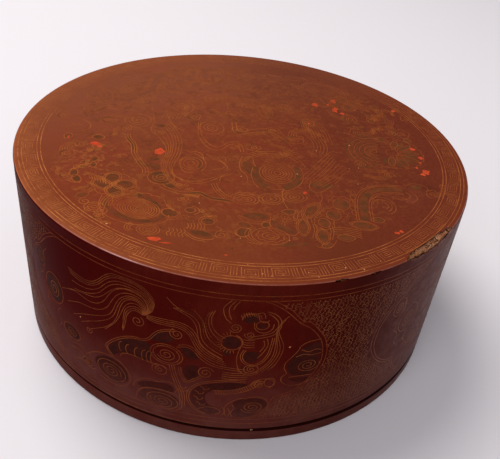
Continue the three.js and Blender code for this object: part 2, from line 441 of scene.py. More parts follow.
def filled(name, first, second, coat, loss, wear_and_sheen, gloss):
    """Coloured lacquer filled into the ground, with soft clouds, lost in places too."""
    finish = Finish(name)
    clouds = finish.between(finish.noise(4, 4, 0.6), 0.35, 0.68)
    lost = finish.between(finish.noise(2.6, 5, 0.72), 0.44, 0.64)
    tone = coat(finish)
    layers = [(lost * loss, tone), (wear_and_sheen(finish) * 0.85, tone)]
    return finish.set(
        Base_Color=finish.layered(finish.mix(clouds, first, second), *layers),
        Roughness=clouds * 0.1 + 0.26,
        Specular_IOR_Level=gloss,
    ).material


def ash_ground(name, pale, deep):
    finish = Finish(name)
    grit = finish.noise(0.7, 5, 0.7)
    fibres = finish.between(finish.noise(0.8, 4, 0.7, (1, 1, 5)), 0.4, 0.6)
    pit_shade = finish.between(finish.noise(2.3, 4, 0.7), 0.54, 0.58)
    # Painted shade: darker at the left end of the broken place, and dark pits in its crevices
    layers = [(finish.along("X", 84, 74) * 0.55, colour(88, 60, 32)), (pit_shade * 0.9, colour(36, 15, 7))]
    return finish.set(
        Base_Color=finish.layered(finish.mix(fibres, pale, deep), *layers),
        Roughness=0.9,
        Specular_IOR_Level=SIDE_GLOSS,
        Normal=finish.bump(grit, 0.3, 0.8),
    ).material


def wood(name, pale, deep, along):
    """Bare wood whose grain runs along one axis of the box."""
    finish = Finish(name)
    stretch = [12 if part == along else 1 for part in "XYZ"]
    grain = finish.between(finish.noise(1.6, 5, 0.65, stretch, 0.4), 0.36, 0.66)
    pores = finish.between(finish.noise(0.35, 2, 0.5, stretch), 0.62, 0.7)
    base = finish.mix(grain, pale, deep)
    return finish.set(
        Base_Color=finish.mix(pores * 0.5, base, colour(70, 44, 24)),
        Roughness=grain * 0.15 + 0.6,
        Normal=finish.bump(grain, 0.08, 0.5),
    ).material


TOP_GLOSS = 0.006
SIDE_GLOSS = 0.003
# The grey of the painted glare on the top
GLARE_TONE = colour(128, 74, 52)
RED = red_lacquer()
WARM = warm_lacquer()
BLACK = black_lacquer()
SIDE_GOLD = gold(
    "gold line on the side", colour(130, 68, 34), colour(96, 45, 25), line_tone, 0.35, reflection_and_dust, SIDE_GLOSS
)
BORDER_GOLD = gold(
    "gold border on the side", colour(118, 56, 28), colour(90, 34, 18), line_tone, 0.6, reflection_and_dust, SIDE_GLOSS
)
GROUND_GOLD = gold(
    "dull gold line on the side", colour(124, 73, 44), colour(98, 49, 28),
    line_tone, 0.5, reflection_and_dust, SIDE_GLOSS
)
TOP_GOLD = gold(
    "gold line on the top", colour(166, 94, 44), colour(140, 71, 34), warm_tone, 0.3, faded, TOP_GLOSS
)
RIM_GOLD = gold(
    "gold line at the rim", colour(184, 110, 58), colour(140, 74, 38), warm_tone, 0.6, faded, TOP_GLOSS
)
SIDE_DARK = filled(
    "dark fill on the side", colour(48, 20, 16), colour(60, 23, 17), red_tone, 0.3, reflection_and_dust, SIDE_GLOSS
)
TOP_DARK = filled(
    "dark fill on the top", colour(88, 52, 29), colour(112, 58, 33), warm_tone, 0.5, far, TOP_GLOSS
)
VERMILION = filled(
    "bright red under the top coat", colour(200, 76, 42), colour(180, 62, 36),
    warm_tone, 0.4, far, TOP_GLOSS
)
PALE = filled(
    "pale specks", colour(200, 140, 100), colour(170, 104, 68), warm_tone, 0.2, far, TOP_GLOSS
)
ASH = ash_ground("cloth and ash ground", colour(166, 114, 82), colour(112, 64, 40))
BROKEN = ash_ground("broken ground", colour(184, 130, 98), colour(124, 72, 46))
STRAW = filled("torn fibres", colour(196, 148, 114), colour(132, 84, 56), warm_tone, 0.3, far, TOP_GLOSS)
NODE_FINISHES = {
    "ash_ground": ASH,
    "black_lacquer": BLACK,
    "bent_wood": wood("bent wood", colour(184, 148, 100), colour(150, 110, 66), "Z"),
    "board_wood": wood("board wood", colour(176, 138, 92), colour(138, 98, 58), "Y"),
    "bamboo": wood("bamboo", colour(214, 190, 132), colour(190, 160, 100), "X"),
}


def built(shape):
    """The mesh of a shape whose building is over."""
    mesh = bpy.data.meshes.new("shape")
    shape.to_mesh(mesh)
    shape.free()
    return mesh


def added(name, data):
    """A new object in the scene."""
    holder = bpy.data.objects.new(name, data)
    bpy.context.scene.collection.objects.link(holder)
    return holder


def placed(name, mesh, body, slot, material, angle=SHARP):
    """A finished mesh as a piece of the box that rides on one of its bodies."""
    piece = added(name, mesh)
    mesh.materials.append(material)
    mesh.shade_smooth()
    mesh.set_sharp_from_angle(angle=angle)
    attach(piece, body)
    return piece


def rounded(centre_radius, centre_height, radius, start, end, steps=6):
    """Points of a rounded edge, with its angles in degrees."""
    angles = [math.radians(start + (end - start) * step / steps) for step in range(steps + 1)]
    return [
        (centre_radius + radius * math.cos(angle), centre_height + radius * math.sin(angle))
        for angle in angles
    ]


def spun(section, steps=360):
    """A closed section of (radius, height) points in drawn millimetres, turned round the axis."""
    turning = bmesh.new()
    corners = [turning.verts.new((radius * MM, 0, height * MM)) for radius, height in section]
    on_axis = section[0][0] == 0
    ends = zip(corners, corners[1:] + ([] if on_axis else corners[:1]))
    edges = [turning.edges.new(pair) for pair in ends]
    bmesh.ops.spin(
        turning,
        geom=corners + edges,
        cent=(0, 0, 0),
        axis=(0, 0, 1),
        angle=math.tau,
        steps=steps,
        use_merge=True,
        use_duplicate=False,
    )
    bmesh.ops.remove_doubles(turning, verts=turning.verts, dist=MM / 1000)
    bmesh.ops.recalc_face_normals(turning, faces=turning.faces)
    return built(turning)


def lid_top():
    corner = SKIN_TOP - CORNER_ROUND
    inside = SKIN_RADIUS - OUTER_COAT
    section = [
        (0, SKIN_TOP - OUTER_COAT),
        (inside, SKIN_TOP - OUTER_COAT),
        (inside, LIP_END),
        (SKIN_RADIUS, LIP_END),
        (SKIN_RADIUS, corner - HOLDING_RING),
        *rounded(SKIN_RADIUS - CORNER_ROUND, corner, CORNER_ROUND, 0, 90),
        (SKIN_RADIUS - CORNER_ROUND - HOLDING_RING, SKIN_TOP),
        (0, SKIN_TOP),
    ]
    piece = placed("lid_top_skin", spun(section), "lid", "warm_lacquer", WARM)
    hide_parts("lid_top_coat")
    return piece


def lid_side():
    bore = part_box("lid_lining_coat")[1].x / MM - LINING_COAT
    inside = SKIN_RADIUS - OUTER_COAT
    end = LIP_END - COAT_SEAM
    section = [
        (bore, MOUTH),
        (SKIN_RADIUS - MOUTH_ROUND - HOLDING_RING, MOUTH),
        *rounded(SKIN_RADIUS - MOUTH_ROUND, MOUTH + MOUTH_ROUND, MOUTH_ROUND, -90, 0),
        (SKIN_RADIUS, MOUTH + MOUTH_ROUND + HOLDING_RING),
        (SKIN_RADIUS, end),
        (inside, end),
        (inside, MOUTH + OUTER_COAT),
        (bore, MOUTH + OUTER_COAT),
    ]
    piece = placed("lid_side_skin", spun(section), "lid", "red_lacquer", RED)
    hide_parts("lid_side_coat")


def base_band():
    well = WELL_RADIUS
    seat_inside = COLLAR_OUTSIDE - LINING_COAT
    section = [
        (well, 0),
        (DRAWN_RADIUS - FOOT_ROUND, 0),
        *rounded(SKIN_RADIUS - FOOT_ROUND, FOOT_ROUND, FOOT_ROUND, -90, 0),
        *rounded(SKIN_RADIUS - SEAT_ROUND, BAND_TOP - SEAT_ROUND, SEAT_ROUND, 0, 90),
        (seat_inside, BAND_TOP),
        (seat_inside, BAND_TOP - OUTER_COAT),
        (SKIN_RADIUS - OUTER_COAT, BAND_TOP - OUTER_COAT),
        (SKIN_RADIUS - OUTER_COAT, OUTER_COAT),
        (well + OUTER_COAT, OUTER_COAT),
        (well + OUTER_COAT, FOOT_RISE),
        (well, FOOT_RISE),
    ]
    piece = placed("base_band_skin", spun(section), "base", "red_lacquer", RED)
    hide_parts("base_band_coat")


def lid_lining():
    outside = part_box("lid_lining_coat")[1].x / MM
    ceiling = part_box("lid_lining_coat")[1].z / MM
    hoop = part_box("lid_corner_hoop")
    slope_top = hoop[1].z / MM - CORNER_HOOP_NOSE
    slope_foot = hoop[0].z / MM
    slope_inside = outside - (hoop[1].z - hoop[0].z) / MM
    bore = outside - LINING_COAT
    under = slope_foot - LAYER_GAP - LINING_COAT
    section = [
        (0, ceiling - LINING_COAT),
        (slope_inside - LAYER_GAP - LINING_COAT, ceiling - LINING_COAT),
        (slope_inside - LAYER_GAP - LINING_COAT, slope_top - LAYER_GAP - LINING_COAT / 2),
        (outside - CORNER_HOOP_NOSE - LAYER_GAP - LINING_COAT / 2, under),
        (bore, under),
        (bore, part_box("lid_lining_coat")[0].z / MM),
        (outside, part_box("lid_lining_coat")[0].z / MM),
        (outside, slope_foot - LAYER_GAP),
        (outside - CORNER_HOOP_NOSE - LAYER_GAP, slope_foot - LAYER_GAP),
        (slope_inside - LAYER_GAP, slope_top - LAYER_GAP),
        (slope_inside - LAYER_GAP, ceiling),
        (0, ceiling),
    ]
    piece = placed("lid_lining_skin", spun(section), "lid", "black_lacquer", BLACK)
    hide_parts("lid_lining_coat")


def base_lining():
    wall = WELL_RADIUS + LINING_COAT
    floor = well_low.z / MM + LINING_COAT
    top = COLLAR_TOP - LIP_ROUND
    section = [
        (0, floor - LINING_COAT),
        (wall, floor - LINING_COAT),
        (wall, COLLAR_TOP - LINING_COAT),
        (COLLAR_OUTSIDE - LINING_COAT, COLLAR_TOP - LINING_COAT),
        (COLLAR_OUTSIDE - LINING_COAT, BAND_TOP + LAYER_GAP),
        (COLLAR_OUTSIDE, BAND_TOP + LAYER_GAP),
        (COLLAR_OUTSIDE, top - HOLDING_RING),
        *rounded(COLLAR_OUTSIDE - LIP_ROUND, top, LIP_ROUND, 0, 90),
        *rounded(WELL_RADIUS + LIP_ROUND, top, LIP_ROUND, 90, 180),
        (WELL_RADIUS, top - HOLDING_RING),
        (WELL_RADIUS, floor),
        (0, floor),
    ]
    piece = placed("base_lining_skin", spun(section), "base", "black_lacquer", BLACK)
    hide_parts("base_lining_coat")


def smooth(points, closed=False, steps=4):
    """A flowing line through flat points."""
    knots = [Vector((*point, 0)) for point in points]
    count = len(knots)
    flowing = []
    for index in range(count if closed else count - 1):
        start = knots[index]
        end = knots[(index + 1) % count]
        before = knots[index - 1] if closed or index else start
        after = knots[(index + 2) % count] if closed or index < count - 2 else end
        handle = start + (end - before) / 6
        other_handle = end - (after - start) / 6
        flowing += interpolate_bezier(start, handle, other_handle, end, steps + 1)[:-1]
    if not closed:
        flowing.append(knots[-1])
    return [(point.x, point.y) for point in flowing]


def spaced(points, count):
    """The same line with a number of points at even distances."""
    knots = [Vector(point) for point in points]
    marks = [0]
    for start, end in zip(knots, knots[1:]):
        marks.append(marks[-1] + (end - start).length)
    found = []
    index = 0
    for step in range(count):
        goal = marks[-1] * step / (count - 1)
        while index < len(knots) - 2 and marks[index + 1] < goal:
            index += 1
        part = (goal - marks[index]) / max(marks[index + 1] - marks[index], 0.001)
        found.append(tuple(knots[index].lerp(knots[index + 1], min(part, 1))))
    return found


def moved(points, x, y, size=1, tilt=0, hand=1):
    """A small drawing made larger, turned over where its hand is -1, tilted and put in its place."""
    right, back = math.cos(math.radians(tilt)), math.sin(math.radians(tilt))
    found = []
    for across, up in points:
        across, up = across * size, up * size * hand
        found.append((x + across * right - up * back, y + across * back + up * right))
    return found


def ellipse(x, y, across, up=None, tilt=0, start=0, end=360, steps=16):
    """Points round an ellipse, or round a part of it; a whole one is a closed outline."""
    up = across if up is None else up
    found = []
    for step in range(steps if end - start == 360 else steps + 1):
        angle = math.radians(start + (end - start) * step / steps)
        found.append((across * math.cos(angle), up * math.sin(angle)))
    return moved(found, x, y, tilt=tilt)


def spiral(x, y, radius, turns=2.3, start=0, hand=1, flat=1):
    """A spiral from its outer end in to its eye, which is a share of its radius."""
    steps = int(SPIRAL_STEPS * turns)
    found = []
    for step in range(steps + 1):
        along = step / steps
        reach = radius * (1 - along * (1 - SPIRAL_EYE))
        angle = math.radians(start) + hand * math.tau * turns * along
        found.append((x + reach * math.cos(angle), y + flat * reach * math.sin(angle)))
    return found


def beside(points, distance):
    """A line moved to its left by a distance."""
    knots = [Vector(point) for point in points]
    found = []
    for index, knot in enumerate(knots):
        way = knots[min(index + 1, len(knots) - 1)] - knots[max(index - 1, 0)]
        way.normalize()
        found.append((knot.x - way.y * distance, knot.y + way.x * distance))
    return found


class Sheet:
    """One flat drawing: its lines, its fine lines and its filled outlines."""

    def __init__(self):
        self.lines = []
        self.fine = []
        self.fills = []

    def line(self, *routes, closed=False):
        self.lines += [(smooth(route, closed), closed) for route in routes]

    def hair(self, *routes):
        self.fine += [(smooth(route, steps=2), False) for route in routes]

    def fill(self, *outlines):
        self.fills += [smooth(outline, True, 3) for outline in outlines]

    def stripe(self, route, width):
        flowing = smooth(route, steps=2)
        self.fills.append(beside(flowing, width / 2) + beside(flowing, -width / 2)[::-1])

    def ring(self, *shape, **more):
        self.line(ellipse(*shape, **more), closed=True)

    def rings(self, x, y, *sizes):
        """Rings round one middle, each with its two half widths."""
        for across, up in sizes:
            self.ring(x, y, across, up)

    def disc(self, *shape, **more):
        self.fill(ellipse(*shape, **more))

    def strands(self, guides, between=1, points=14):
        """Hair: the guides, and lines between each two of them."""
        routes = [spaced(smooth(guide), points) for guide in guides]
        for first, second in zip(routes, routes[1:]):
            for step in range(between + 1):
                part = step / (between + 1)
                mixed = [tuple(Vector(a).lerp(Vector(b), part)) for a, b in zip(first, second)]
                self.fine.append((smooth(mixed, steps=3), False))
        self.fine.append((smooth(routes[-1], steps=3), False))


def bars(routes, width):
    """Routes as thin closed bars, in drawn millimetres."""
    strokes = bpy.data.curves.new("strokes", "CURVE")
    strokes.dimensions = "3D"
    strokes.twist_mode = "Z_UP"
    strokes.bevel_depth = width / 2
    strokes.bevel_resolution = 0
    strokes.use_fill_caps = True
    for points, closed in routes:
        stroke = strokes.splines.new("POLY")
        stroke.points.add(len(points) - 1)
        for knot, point in zip(stroke.points, points):
            knot.co = (*Vector(point).to_3d(), 1)
        stroke.use_cyclic_u = closed
    holder = bpy.data.objects.new("strokes", strokes)
    mesh = bpy.data.meshes.new_from_object(holder)
    bpy.data.objects.remove(holder)
    return mesh


def drawn_lines(routes, width):
    """Flat routes as thin flat bars."""
    mesh = bars(routes, width)
    for corner in mesh.vertices:
        corner.co.z = corner.co.z * LINE_FLATNESS + LINE_LIFT
    return mesh


def drawn_fills(outlines, lift=FILL_LIFT):
    """Flat outlines as thin closed plates, cut into strips that can bend round the box."""
    flat = bmesh.new()
    for number, outline in enumerate(outlines):
        height = lift + FILL_RISE * (number % FILL_LEVELS)
        corners = [flat.verts.new((x, y, height)) for x, y in outline]
        edges = [flat.edges.new(pair) for pair in zip(corners, corners[1:] + corners[:1])]
        bmesh.ops.triangle_fill(flat, use_beauty=True, edges=edges)
    low = min(corner.co.x for corner in flat.verts)
    high = max(corner.co.x for corner in flat.verts)
    for step in range(1, int((high - low) / FILL_STEP) + 1):
        bmesh.ops.bisect_plane(
            flat,
            geom=flat.verts[:] + flat.edges[:] + flat.faces[:],
            plane_co=(low + step * FILL_STEP, 0, 0),
            plane_no=(1, 0, 0),
        )
    for face in flat.faces:
        if face.normal.z < 0:
            face.normal_flip()
    under = bmesh.ops.extrude_face_region(flat, geom=flat.faces[:])["geom"]
    sunk = [part for part in under if isinstance(part, bmesh.types.BMVert)]
    bmesh.ops.translate(flat, verts=sunk, vec=(0, 0, -FILL_DEPTH))
    bmesh.ops.recalc_face_normals(flat, faces=flat.faces)
    return built(flat)


def on_side(shift):
    """Lays a flat drawing on the side, moved along the arc by a shift."""

    def lay(point):
        angle = (point.x + shift) / DRAWN_RADIUS
        radius = SKIN_RADIUS + point.z
        return Vector((radius * math.sin(angle), -radius * math.cos(angle), TOP + point.y)) * MM

    return lay


def on_top(turn=0):
    """Lays a flat drawing on the lid's top, turned round the axis."""

    def lay(point):
        place = Vector((point.x, point.y, SKIN_TOP + point.z)) * MM
        place.rotate(Matrix.Rotation(turn, 3, "Z"))
        return place

    return lay


def laid(name, mesh, lay, slot, material):
    for corner in mesh.vertices:
        corner.co = lay(corner.co)
    return placed(name, mesh, "lid", slot, material)


# The beast panel on the side, which stands on four sides of the box
PANEL_MIDDLE = -33
BORDER_LINES = (-5.75, -8.2, -81.3, -84.2)
BORDER_STEPS = 90
GROUND_HIGH = -9.6
GROUND_LOW = -80.2
MARK_ROWS = 33
MARK_SPACING = 1.85
MARK_MARGIN = 1.5
MARK_SHIFT = 0.4
MARK_SEED = 7
FRAME_INSIDE = [
    (14.5, -8.6), (17.6, -9.7), (21.5, -12.2), (25.2, -15.5), (30.5, -21.1), (34.9, -24.3), (38.7, -28.7),
    (41.9, -34.6), (43.1, -41), (43.1, -46.3), (41.6, -51), (39.9, -54.5), (37.5, -58), (33.4, -61.8),
    (29.9, -64), (25.2, -65.3), (24, -66.5), (22.8, -70.4), (20.5, -74.5), (16.4, -78.6), (12.3, -80.6),
]
FRAME_OUTSIDE = [
    (16.5, -8.4), (19.3, -8.9), (23, -11.4), (26.4, -14.1), (31.1, -19.8), (34.6, -20.9), (39.3, -26.4),
    (42.8, -31.7), (44.6, -37.5), (45.1, -41), (44.8, -47), (43.1, -51.6), (41, -55.7), (38.1, -59.2),
    (34, -63.2), (30.5, -65.2), (26.8, -66.3), (25.2, -68), (23.7, -71.6), (21.1, -75.7), (17, -79.6),
    (14.5, -81),
]


def mirrored(points):
    return [(2 * PANEL_MIDDLE - x, y) for x, y in points]


def frames_and_borders():
    """A panel's frame, and its quarter of the lines that run round the box."""
    sheet = Sheet()
    for outline in (FRAME_INSIDE, FRAME_OUTSIDE):
        sheet.line(outline, mirrored(outline))
    left = PANEL_MIDDLE - QUARTER / 2
    along = [left + QUARTER * step / BORDER_STEPS for step in range(BORDER_STEPS + 1)]
    sheet.lines += [([(x, height) for x in along], False) for height in BORDER_LINES]
    return sheet


def ground_marks(chance):
    """The dense short strokes, like small flames, on the ground between two panels."""
    heights = [height for x, height in reversed(FRAME_OUTSIDE)]
    edges = [x for x, height in reversed(FRAME_OUTSIDE)]

    def edge_at(height):
        place = next((i for i, value in enumerate(heights[1:]) if value >= height), len(heights) - 2)
        share = (height - heights[place]) / (heights[place + 1] - heights[place])
        return edges[place] + min(max(share, 0), 1) * (edges[place + 1] - edges[place])

    sheet = Sheet()
    pitch = (GROUND_HIGH - GROUND_LOW) / MARK_ROWS
    for row in range(MARK_ROWS):
        height = GROUND_HIGH - (row + 0.5) * pitch
        left = edge_at(height) + MARK_MARGIN
        right = 2 * PANEL_MIDDLE + QUARTER - edge_at(height) - MARK_MARGIN
        count = max(int((right - left) / MARK_SPACING), 1)
        for index in range(count + 1):
            share = (index + 0.5 * (row % 2)) / count
            x = left + (right - left) * share + chance.uniform(-MARK_SHIFT, MARK_SHIFT)
            if x > right:
                continue
            y = height + chance.uniform(-MARK_SHIFT, MARK_SHIFT)
            lean = chance.uniform(0.1, 0.9)
            bend = chance.uniform(0.3, 0.75)
            size = chance.uniform(0.8, 1.3)
            mark = [(-lean, -1.3), (0.35 - bend * 0.2, -0.6), (-bend, 0.1), (0.45, 0.65), (lean * 0.4, 1.3)]
            sheet.hair([(x + across * size, y + rise * size) for across, rise in mark])
            if (row + index) % 3 == 0:
                sheet.hair([(x - bend, y + 0.1), (x - bend - 0.75, y + 0.6), (x - bend - 0.9, y)])
    return sheet


TAIL = [
    [(-34, -26.5), (-30.6, -23), (-29.6, -18.8), (-31.6, -13.8), (-36.8, -10.4), (-42.1, -9.9),
     (-47.4, -10.1), (-50.9, -11.4), (-53.8, -14.3), (-57.3, -18.2), (-61.4, -20.9), (-66.7, -21.4),
     (-74, -20.5)],
    [(-34, -26.5), (-31.4, -23), (-30.6, -19), (-32.4, -15.2), (-35.6, -12.4), (-40, -11.4), (-45.6, -11.4),
     (-49.7, -13), (-53.2, -16.2), (-56.7, -20.2), (-61.4, -23), (-67.3, -23.8), (-73, -22.6)],
    [(-34.2, -26.5), (-32.2, -23), (-31.8, -19.6), (-34.4, -15.6), (-39.7, -14.1), (-44.4, -14.3),
     (-47.9, -15.6), (-50.9, -18), (-53.4, -21), (-55.8, -24), (-59.4, -26.6), (-64, -28.8), (-71, -30.5)],
    [(-34.3, -26.5), (-32.8, -23), (-32.8, -20.6), (-35, -17), (-39.7, -15.7), (-43.8, -16.1),
     (-46.8, -17.8), (-49.7, -20.9), (-52.1, -25), (-54.4, -28.6), (-58, -31.4), (-63, -32.6), (-71, -32),
     (-80, -36)],
    [(-34.4, -26.5), (-33.8, -23), (-34.6, -20.6), (-37.2, -18.6), (-40.9, -18.7), (-43.8, -20.4),
     (-46.2, -23.5), (-48, -27.4), (-49.5, -31.6), (-52.2, -35), (-56.2, -37.6), (-61.4, -40.3),
     (-66.7, -43), (-73, -47)],
    [(-34.5, -26.5), (-34.8, -23), (-36.4, -20.8), (-38.6, -20), (-41.5, -21), (-43.8, -23.5), (-45.3, -27),
     (-46.4, -31), (-48, -35.6), (-50.6, -39.6), (-54, -43.2), (-58.6, -46.6), (-63, -50)],
    [(-34.6, -26.5), (-35.4, -24.4), (-38, -23.4), (-40.9, -24.6), (-43, -27.4), (-43.8, -31.1),
     (-44.1, -35.2), (-44.6, -38.7)],
    [(-34.8, -26.7), (-36.4, -25.8), (-38.6, -25.6), (-40.4, -27), (-42.1, -29.9), (-42.7, -33.4),
     (-43.3, -36.4), (-44.2, -39.9)],
]
BACK_HAIR = [
    [(-33, -25.9), (-29.8, -25.5), (-24.5, -25.2), (-20.4, -24.9), (-16.3, -25.5), (-13.2, -27.6),
     (-11.2, -31), (-9.6, -35.2), (-6, -38.8), (0, -42.6)],
    [(-33, -27.4), (-29.8, -28.4), (-24.5, -28.4), (-20.4, -28), (-16.6, -29), (-14, -32), (-11.8, -37),
     (-8, -41.6), (-3, -44.4), (2, -46)],
]
MANE = [
    [(-21.6, -17.6), (-17.4, -19.4), (-13.9, -21.7), (-11.6, -25.8), (-11, -30.5), (-9.2, -35.2),
     (-5.7, -38.6), (0, -42.2)],
    [(-19.5, -17), (-15, -18.2), (-11, -20), (-9.2, -24.4), (-8.6, -29), (-6.8, -33), (-3.6, -36),
     (-0.5, -38)],
    [(-6.6, -16.2), (-8.2, -20), (-7.9, -24), (-6.6, -28), (-4.8, -31), (-2.6, -33), (-0.8, -34.2)],
    [(-4.6, -15), (-5.9, -19), (-5.6, -23), (-4, -26.4), (-1.6, -28.8), (0.4, -29.8)],
]
BACK = [
    (-50, -59.5), (-53.2, -56.3), (-53.6, -53.4), (-51.5, -50.2), (-48.5, -46.9), (-44.4, -43.6),
    (-39.7, -41.2), (-35, -40.4), (-32.4, -38.9), (-30.4, -35.8), (-28, -32.8), (-23.9, -30.5),
    (-20.4, -29.7),
]
BEARD = [
    [(25, -16.5), (23, -18.5), (21.4, -22), (21.8, -25.6), (23.4, -29.6), (24.8, -34), (24.2, -39.4),
     (22.2, -45), (19.4, -48.6)],
    [(21.4, -22), (20.7, -25), (21, -29), (21.2, -34), (20.8, -39), (19, -43.6), (16, -47.4), (12.6, -50)],
]


def beast(sheet):
    """A running beast, with its tail at the left and its head at the right."""
    beast_hair(sheet)
    beast_body(sheet)
    hind_leg(sheet)
    foreleg(sheet)
    beast_head(sheet)


def beast_hair(sheet):
    """Tail, back hair, mane and beard, and the line of the back."""
    sheet.strands(TAIL, 1)
    sheet.strands(BACK_HAIR, 2)
    sheet.strands(MANE[:2], 1, 10)
    sheet.strands(MANE[1:3], 1, 10)
    sheet.strands(MANE[2:], 1, 10)
    sheet.strands(BEARD, 2, 10)
    sheet.hair([(-24.4, -12.8), (-22.6, -14.9), (-20.4, -16.8), (-18, -18.4)])
    sheet.line(spiral(-37.2, -31, 3.2, 1.6, 60, -1), spiral(-63.4, -50.6, 2, 1.3, 20, -1))
    sheet.line(spiral(-19.8, -32, 3.2, 1.9, 120), BACK, beside(BACK, -0.95))


def beast_body(sheet):
    """Body, ribs and the spirals of the joints."""
    sheet.fill(
        [(-52.3, -55.4), (-51, -51.4), (-47, -47.2), (-43, -44.4), (-38, -42.5), (-33, -41.6), (-31, -44),
         (-31, -50), (-33, -52.8), (-38, -52.4), (-44, -53.4), (-47.4, -55.6), (-50, -58.2)],
        [(-31.4, -38.4), (-29, -34.4), (-25.6, -32), (-22.6, -33), (-20.6, -35.6), (-22.6, -37.8),
         (-26.6, -38.8)],
        [(-17.4, -39.4), (-13.6, -39.4), (-10, -43.4), (-12.6, -45), (-15.6, -44)],
        [(-16.4, -52), (-13.6, -49.2), (-10, -48.6), (-9.6, -53), (-10.6, -56.6), (-13, -58.6),
         (-15.6, -56)],
    )
    for x, reach in ((-46.5, 3.2), (-43, 3), (-38.7, 3.2), (-35.2, 3.4), (-33, 3.8), (-31, 4.2)):
        sheet.line(ellipse(x + 1.6, -50.2, 1.7, reach, start=90, end=250, steps=6))
    sheet.line([(-46, -56.4), (-44.4, -54), (-39.7, -52.8), (-32.7, -53.3), (-25.7, -53), (-22.5, -55)])
    sheet.rings(-24, -45.5, (7.2, 6), (5.9, 4.9))
    sheet.line(spiral(-24, -45.4, 4.4, 2.2, 200, flat=0.82))
    sheet.ring(-27, -56, 3.4, 3)
    sheet.line(spiral(-27, -55.8, 2, 1.4, 90))
    sheet.line([(-19, -38.2), (-15.6, -37), (-12.4, -38), (-9, -42), (-4.4, -45.4), (0, -46.8),
                (10, -47.8)])
    sheet.line([(-19.6, -39.6), (-15.8, -38.3), (-12.8, -39.2), (-9.6, -43.2), (-5, -46.6), (0.4, -48),
                (9, -49)])


def hind_leg(sheet):
    """Hind leg, belly and the curled haunch."""
    leg = [(-22.6, -51.6), (-21.4, -57), (-19.4, -63), (-17.4, -69), (-17, -76)]
    sheet.line(leg, beside(leg, 1.1), beside(leg, 2.2))
    shin = [(-18.4, -51.4), (-17.6, -56), (-14.8, -60.4), (-12, -58.6), (-8.4, -55.6)]
    sheet.line(shin, beside(shin, 1), spiral(-6.6, -52, 3.8, 2, 20))
    sheet.line([(-18.6, -62.6), (-16, -64.6), (-14, -62.6)], [(-19.4, -65), (-16, -66.4), (-13.8, -65)])
    for height in (-49.9, -51.2, -52.5, -53.8):
        sheet.line([(0.4, height), (4, height - 0.5), (8, height - 0.3), (11.4, height + 0.3)])
    haunch = [(11, -55.2), (4, -54.8), (-3, -56.4), (-8.6, -58.6), (-12.6, -62.8), (-14.2, -67.6),
              (-13.4, -72.6), (-10.4, -77), (-5.6, -79.8)]
    sheet.line(haunch, beside(haunch, 1))
    sheet.fill(
        [(12, -57.2), (5, -56.6), (-3, -58.2), (-8.4, -60.4), (-12, -65), (-12.2, -71), (-9.2, -76),
         (-4.6, -78.8), (0.8, -77.6), (0.4, -74.4), (-4, -72.6), (-6, -68), (-4.4, -63.8), (1, -62),
         (8, -60.2), (12, -58.8)]
    )
    for x, y in ((-7.2, -61.8), (-9.4, -65), (-9.6, -68.8), (-8.4, -72.4)):
        sheet.line([(x - 1.4, y + 0.9), (x, y + 0.2), (x + 0.6, y - 1), (x + 2.2, y - 0.6),
                    (x + 2.8, y + 0.7)])
    sheet.line([(-8.6, -76.2), (-5, -74.2), (-0.8, -74.4), (1.4, -76.6), (-0.6, -78.8)])
    sheet.line([(2, -73), (3.4, -76), (2.2, -79)], [(4.4, -73.4), (5.6, -76.4), (5, -79.4)])


def foreleg(sheet):
    """Foreleg with its cross ribs."""
    top = spaced(smooth([(17, -53.6), (13, -57.4), (8, -60.4), (2, -62), (-3, -62.6)]), 22)
    foot = spaced(smooth([(18.6, -56), (14.6, -59.8), (9, -62.8), (2.4, -64.4), (-2, -64.6)]), 22)
    sheet.line(top, foot)
    sheet.fine += [([first, second], False) for first, second in zip(top[1:-1], foot[1:-1])]
    sheet.line(spiral(17, -57.4, 2.6, 1.6, 30), ellipse(18.4, -57, 5, 3.4, 8, -60, 215, 12))
    sheet.ring(21.4, -56, 2.4, 2.8)


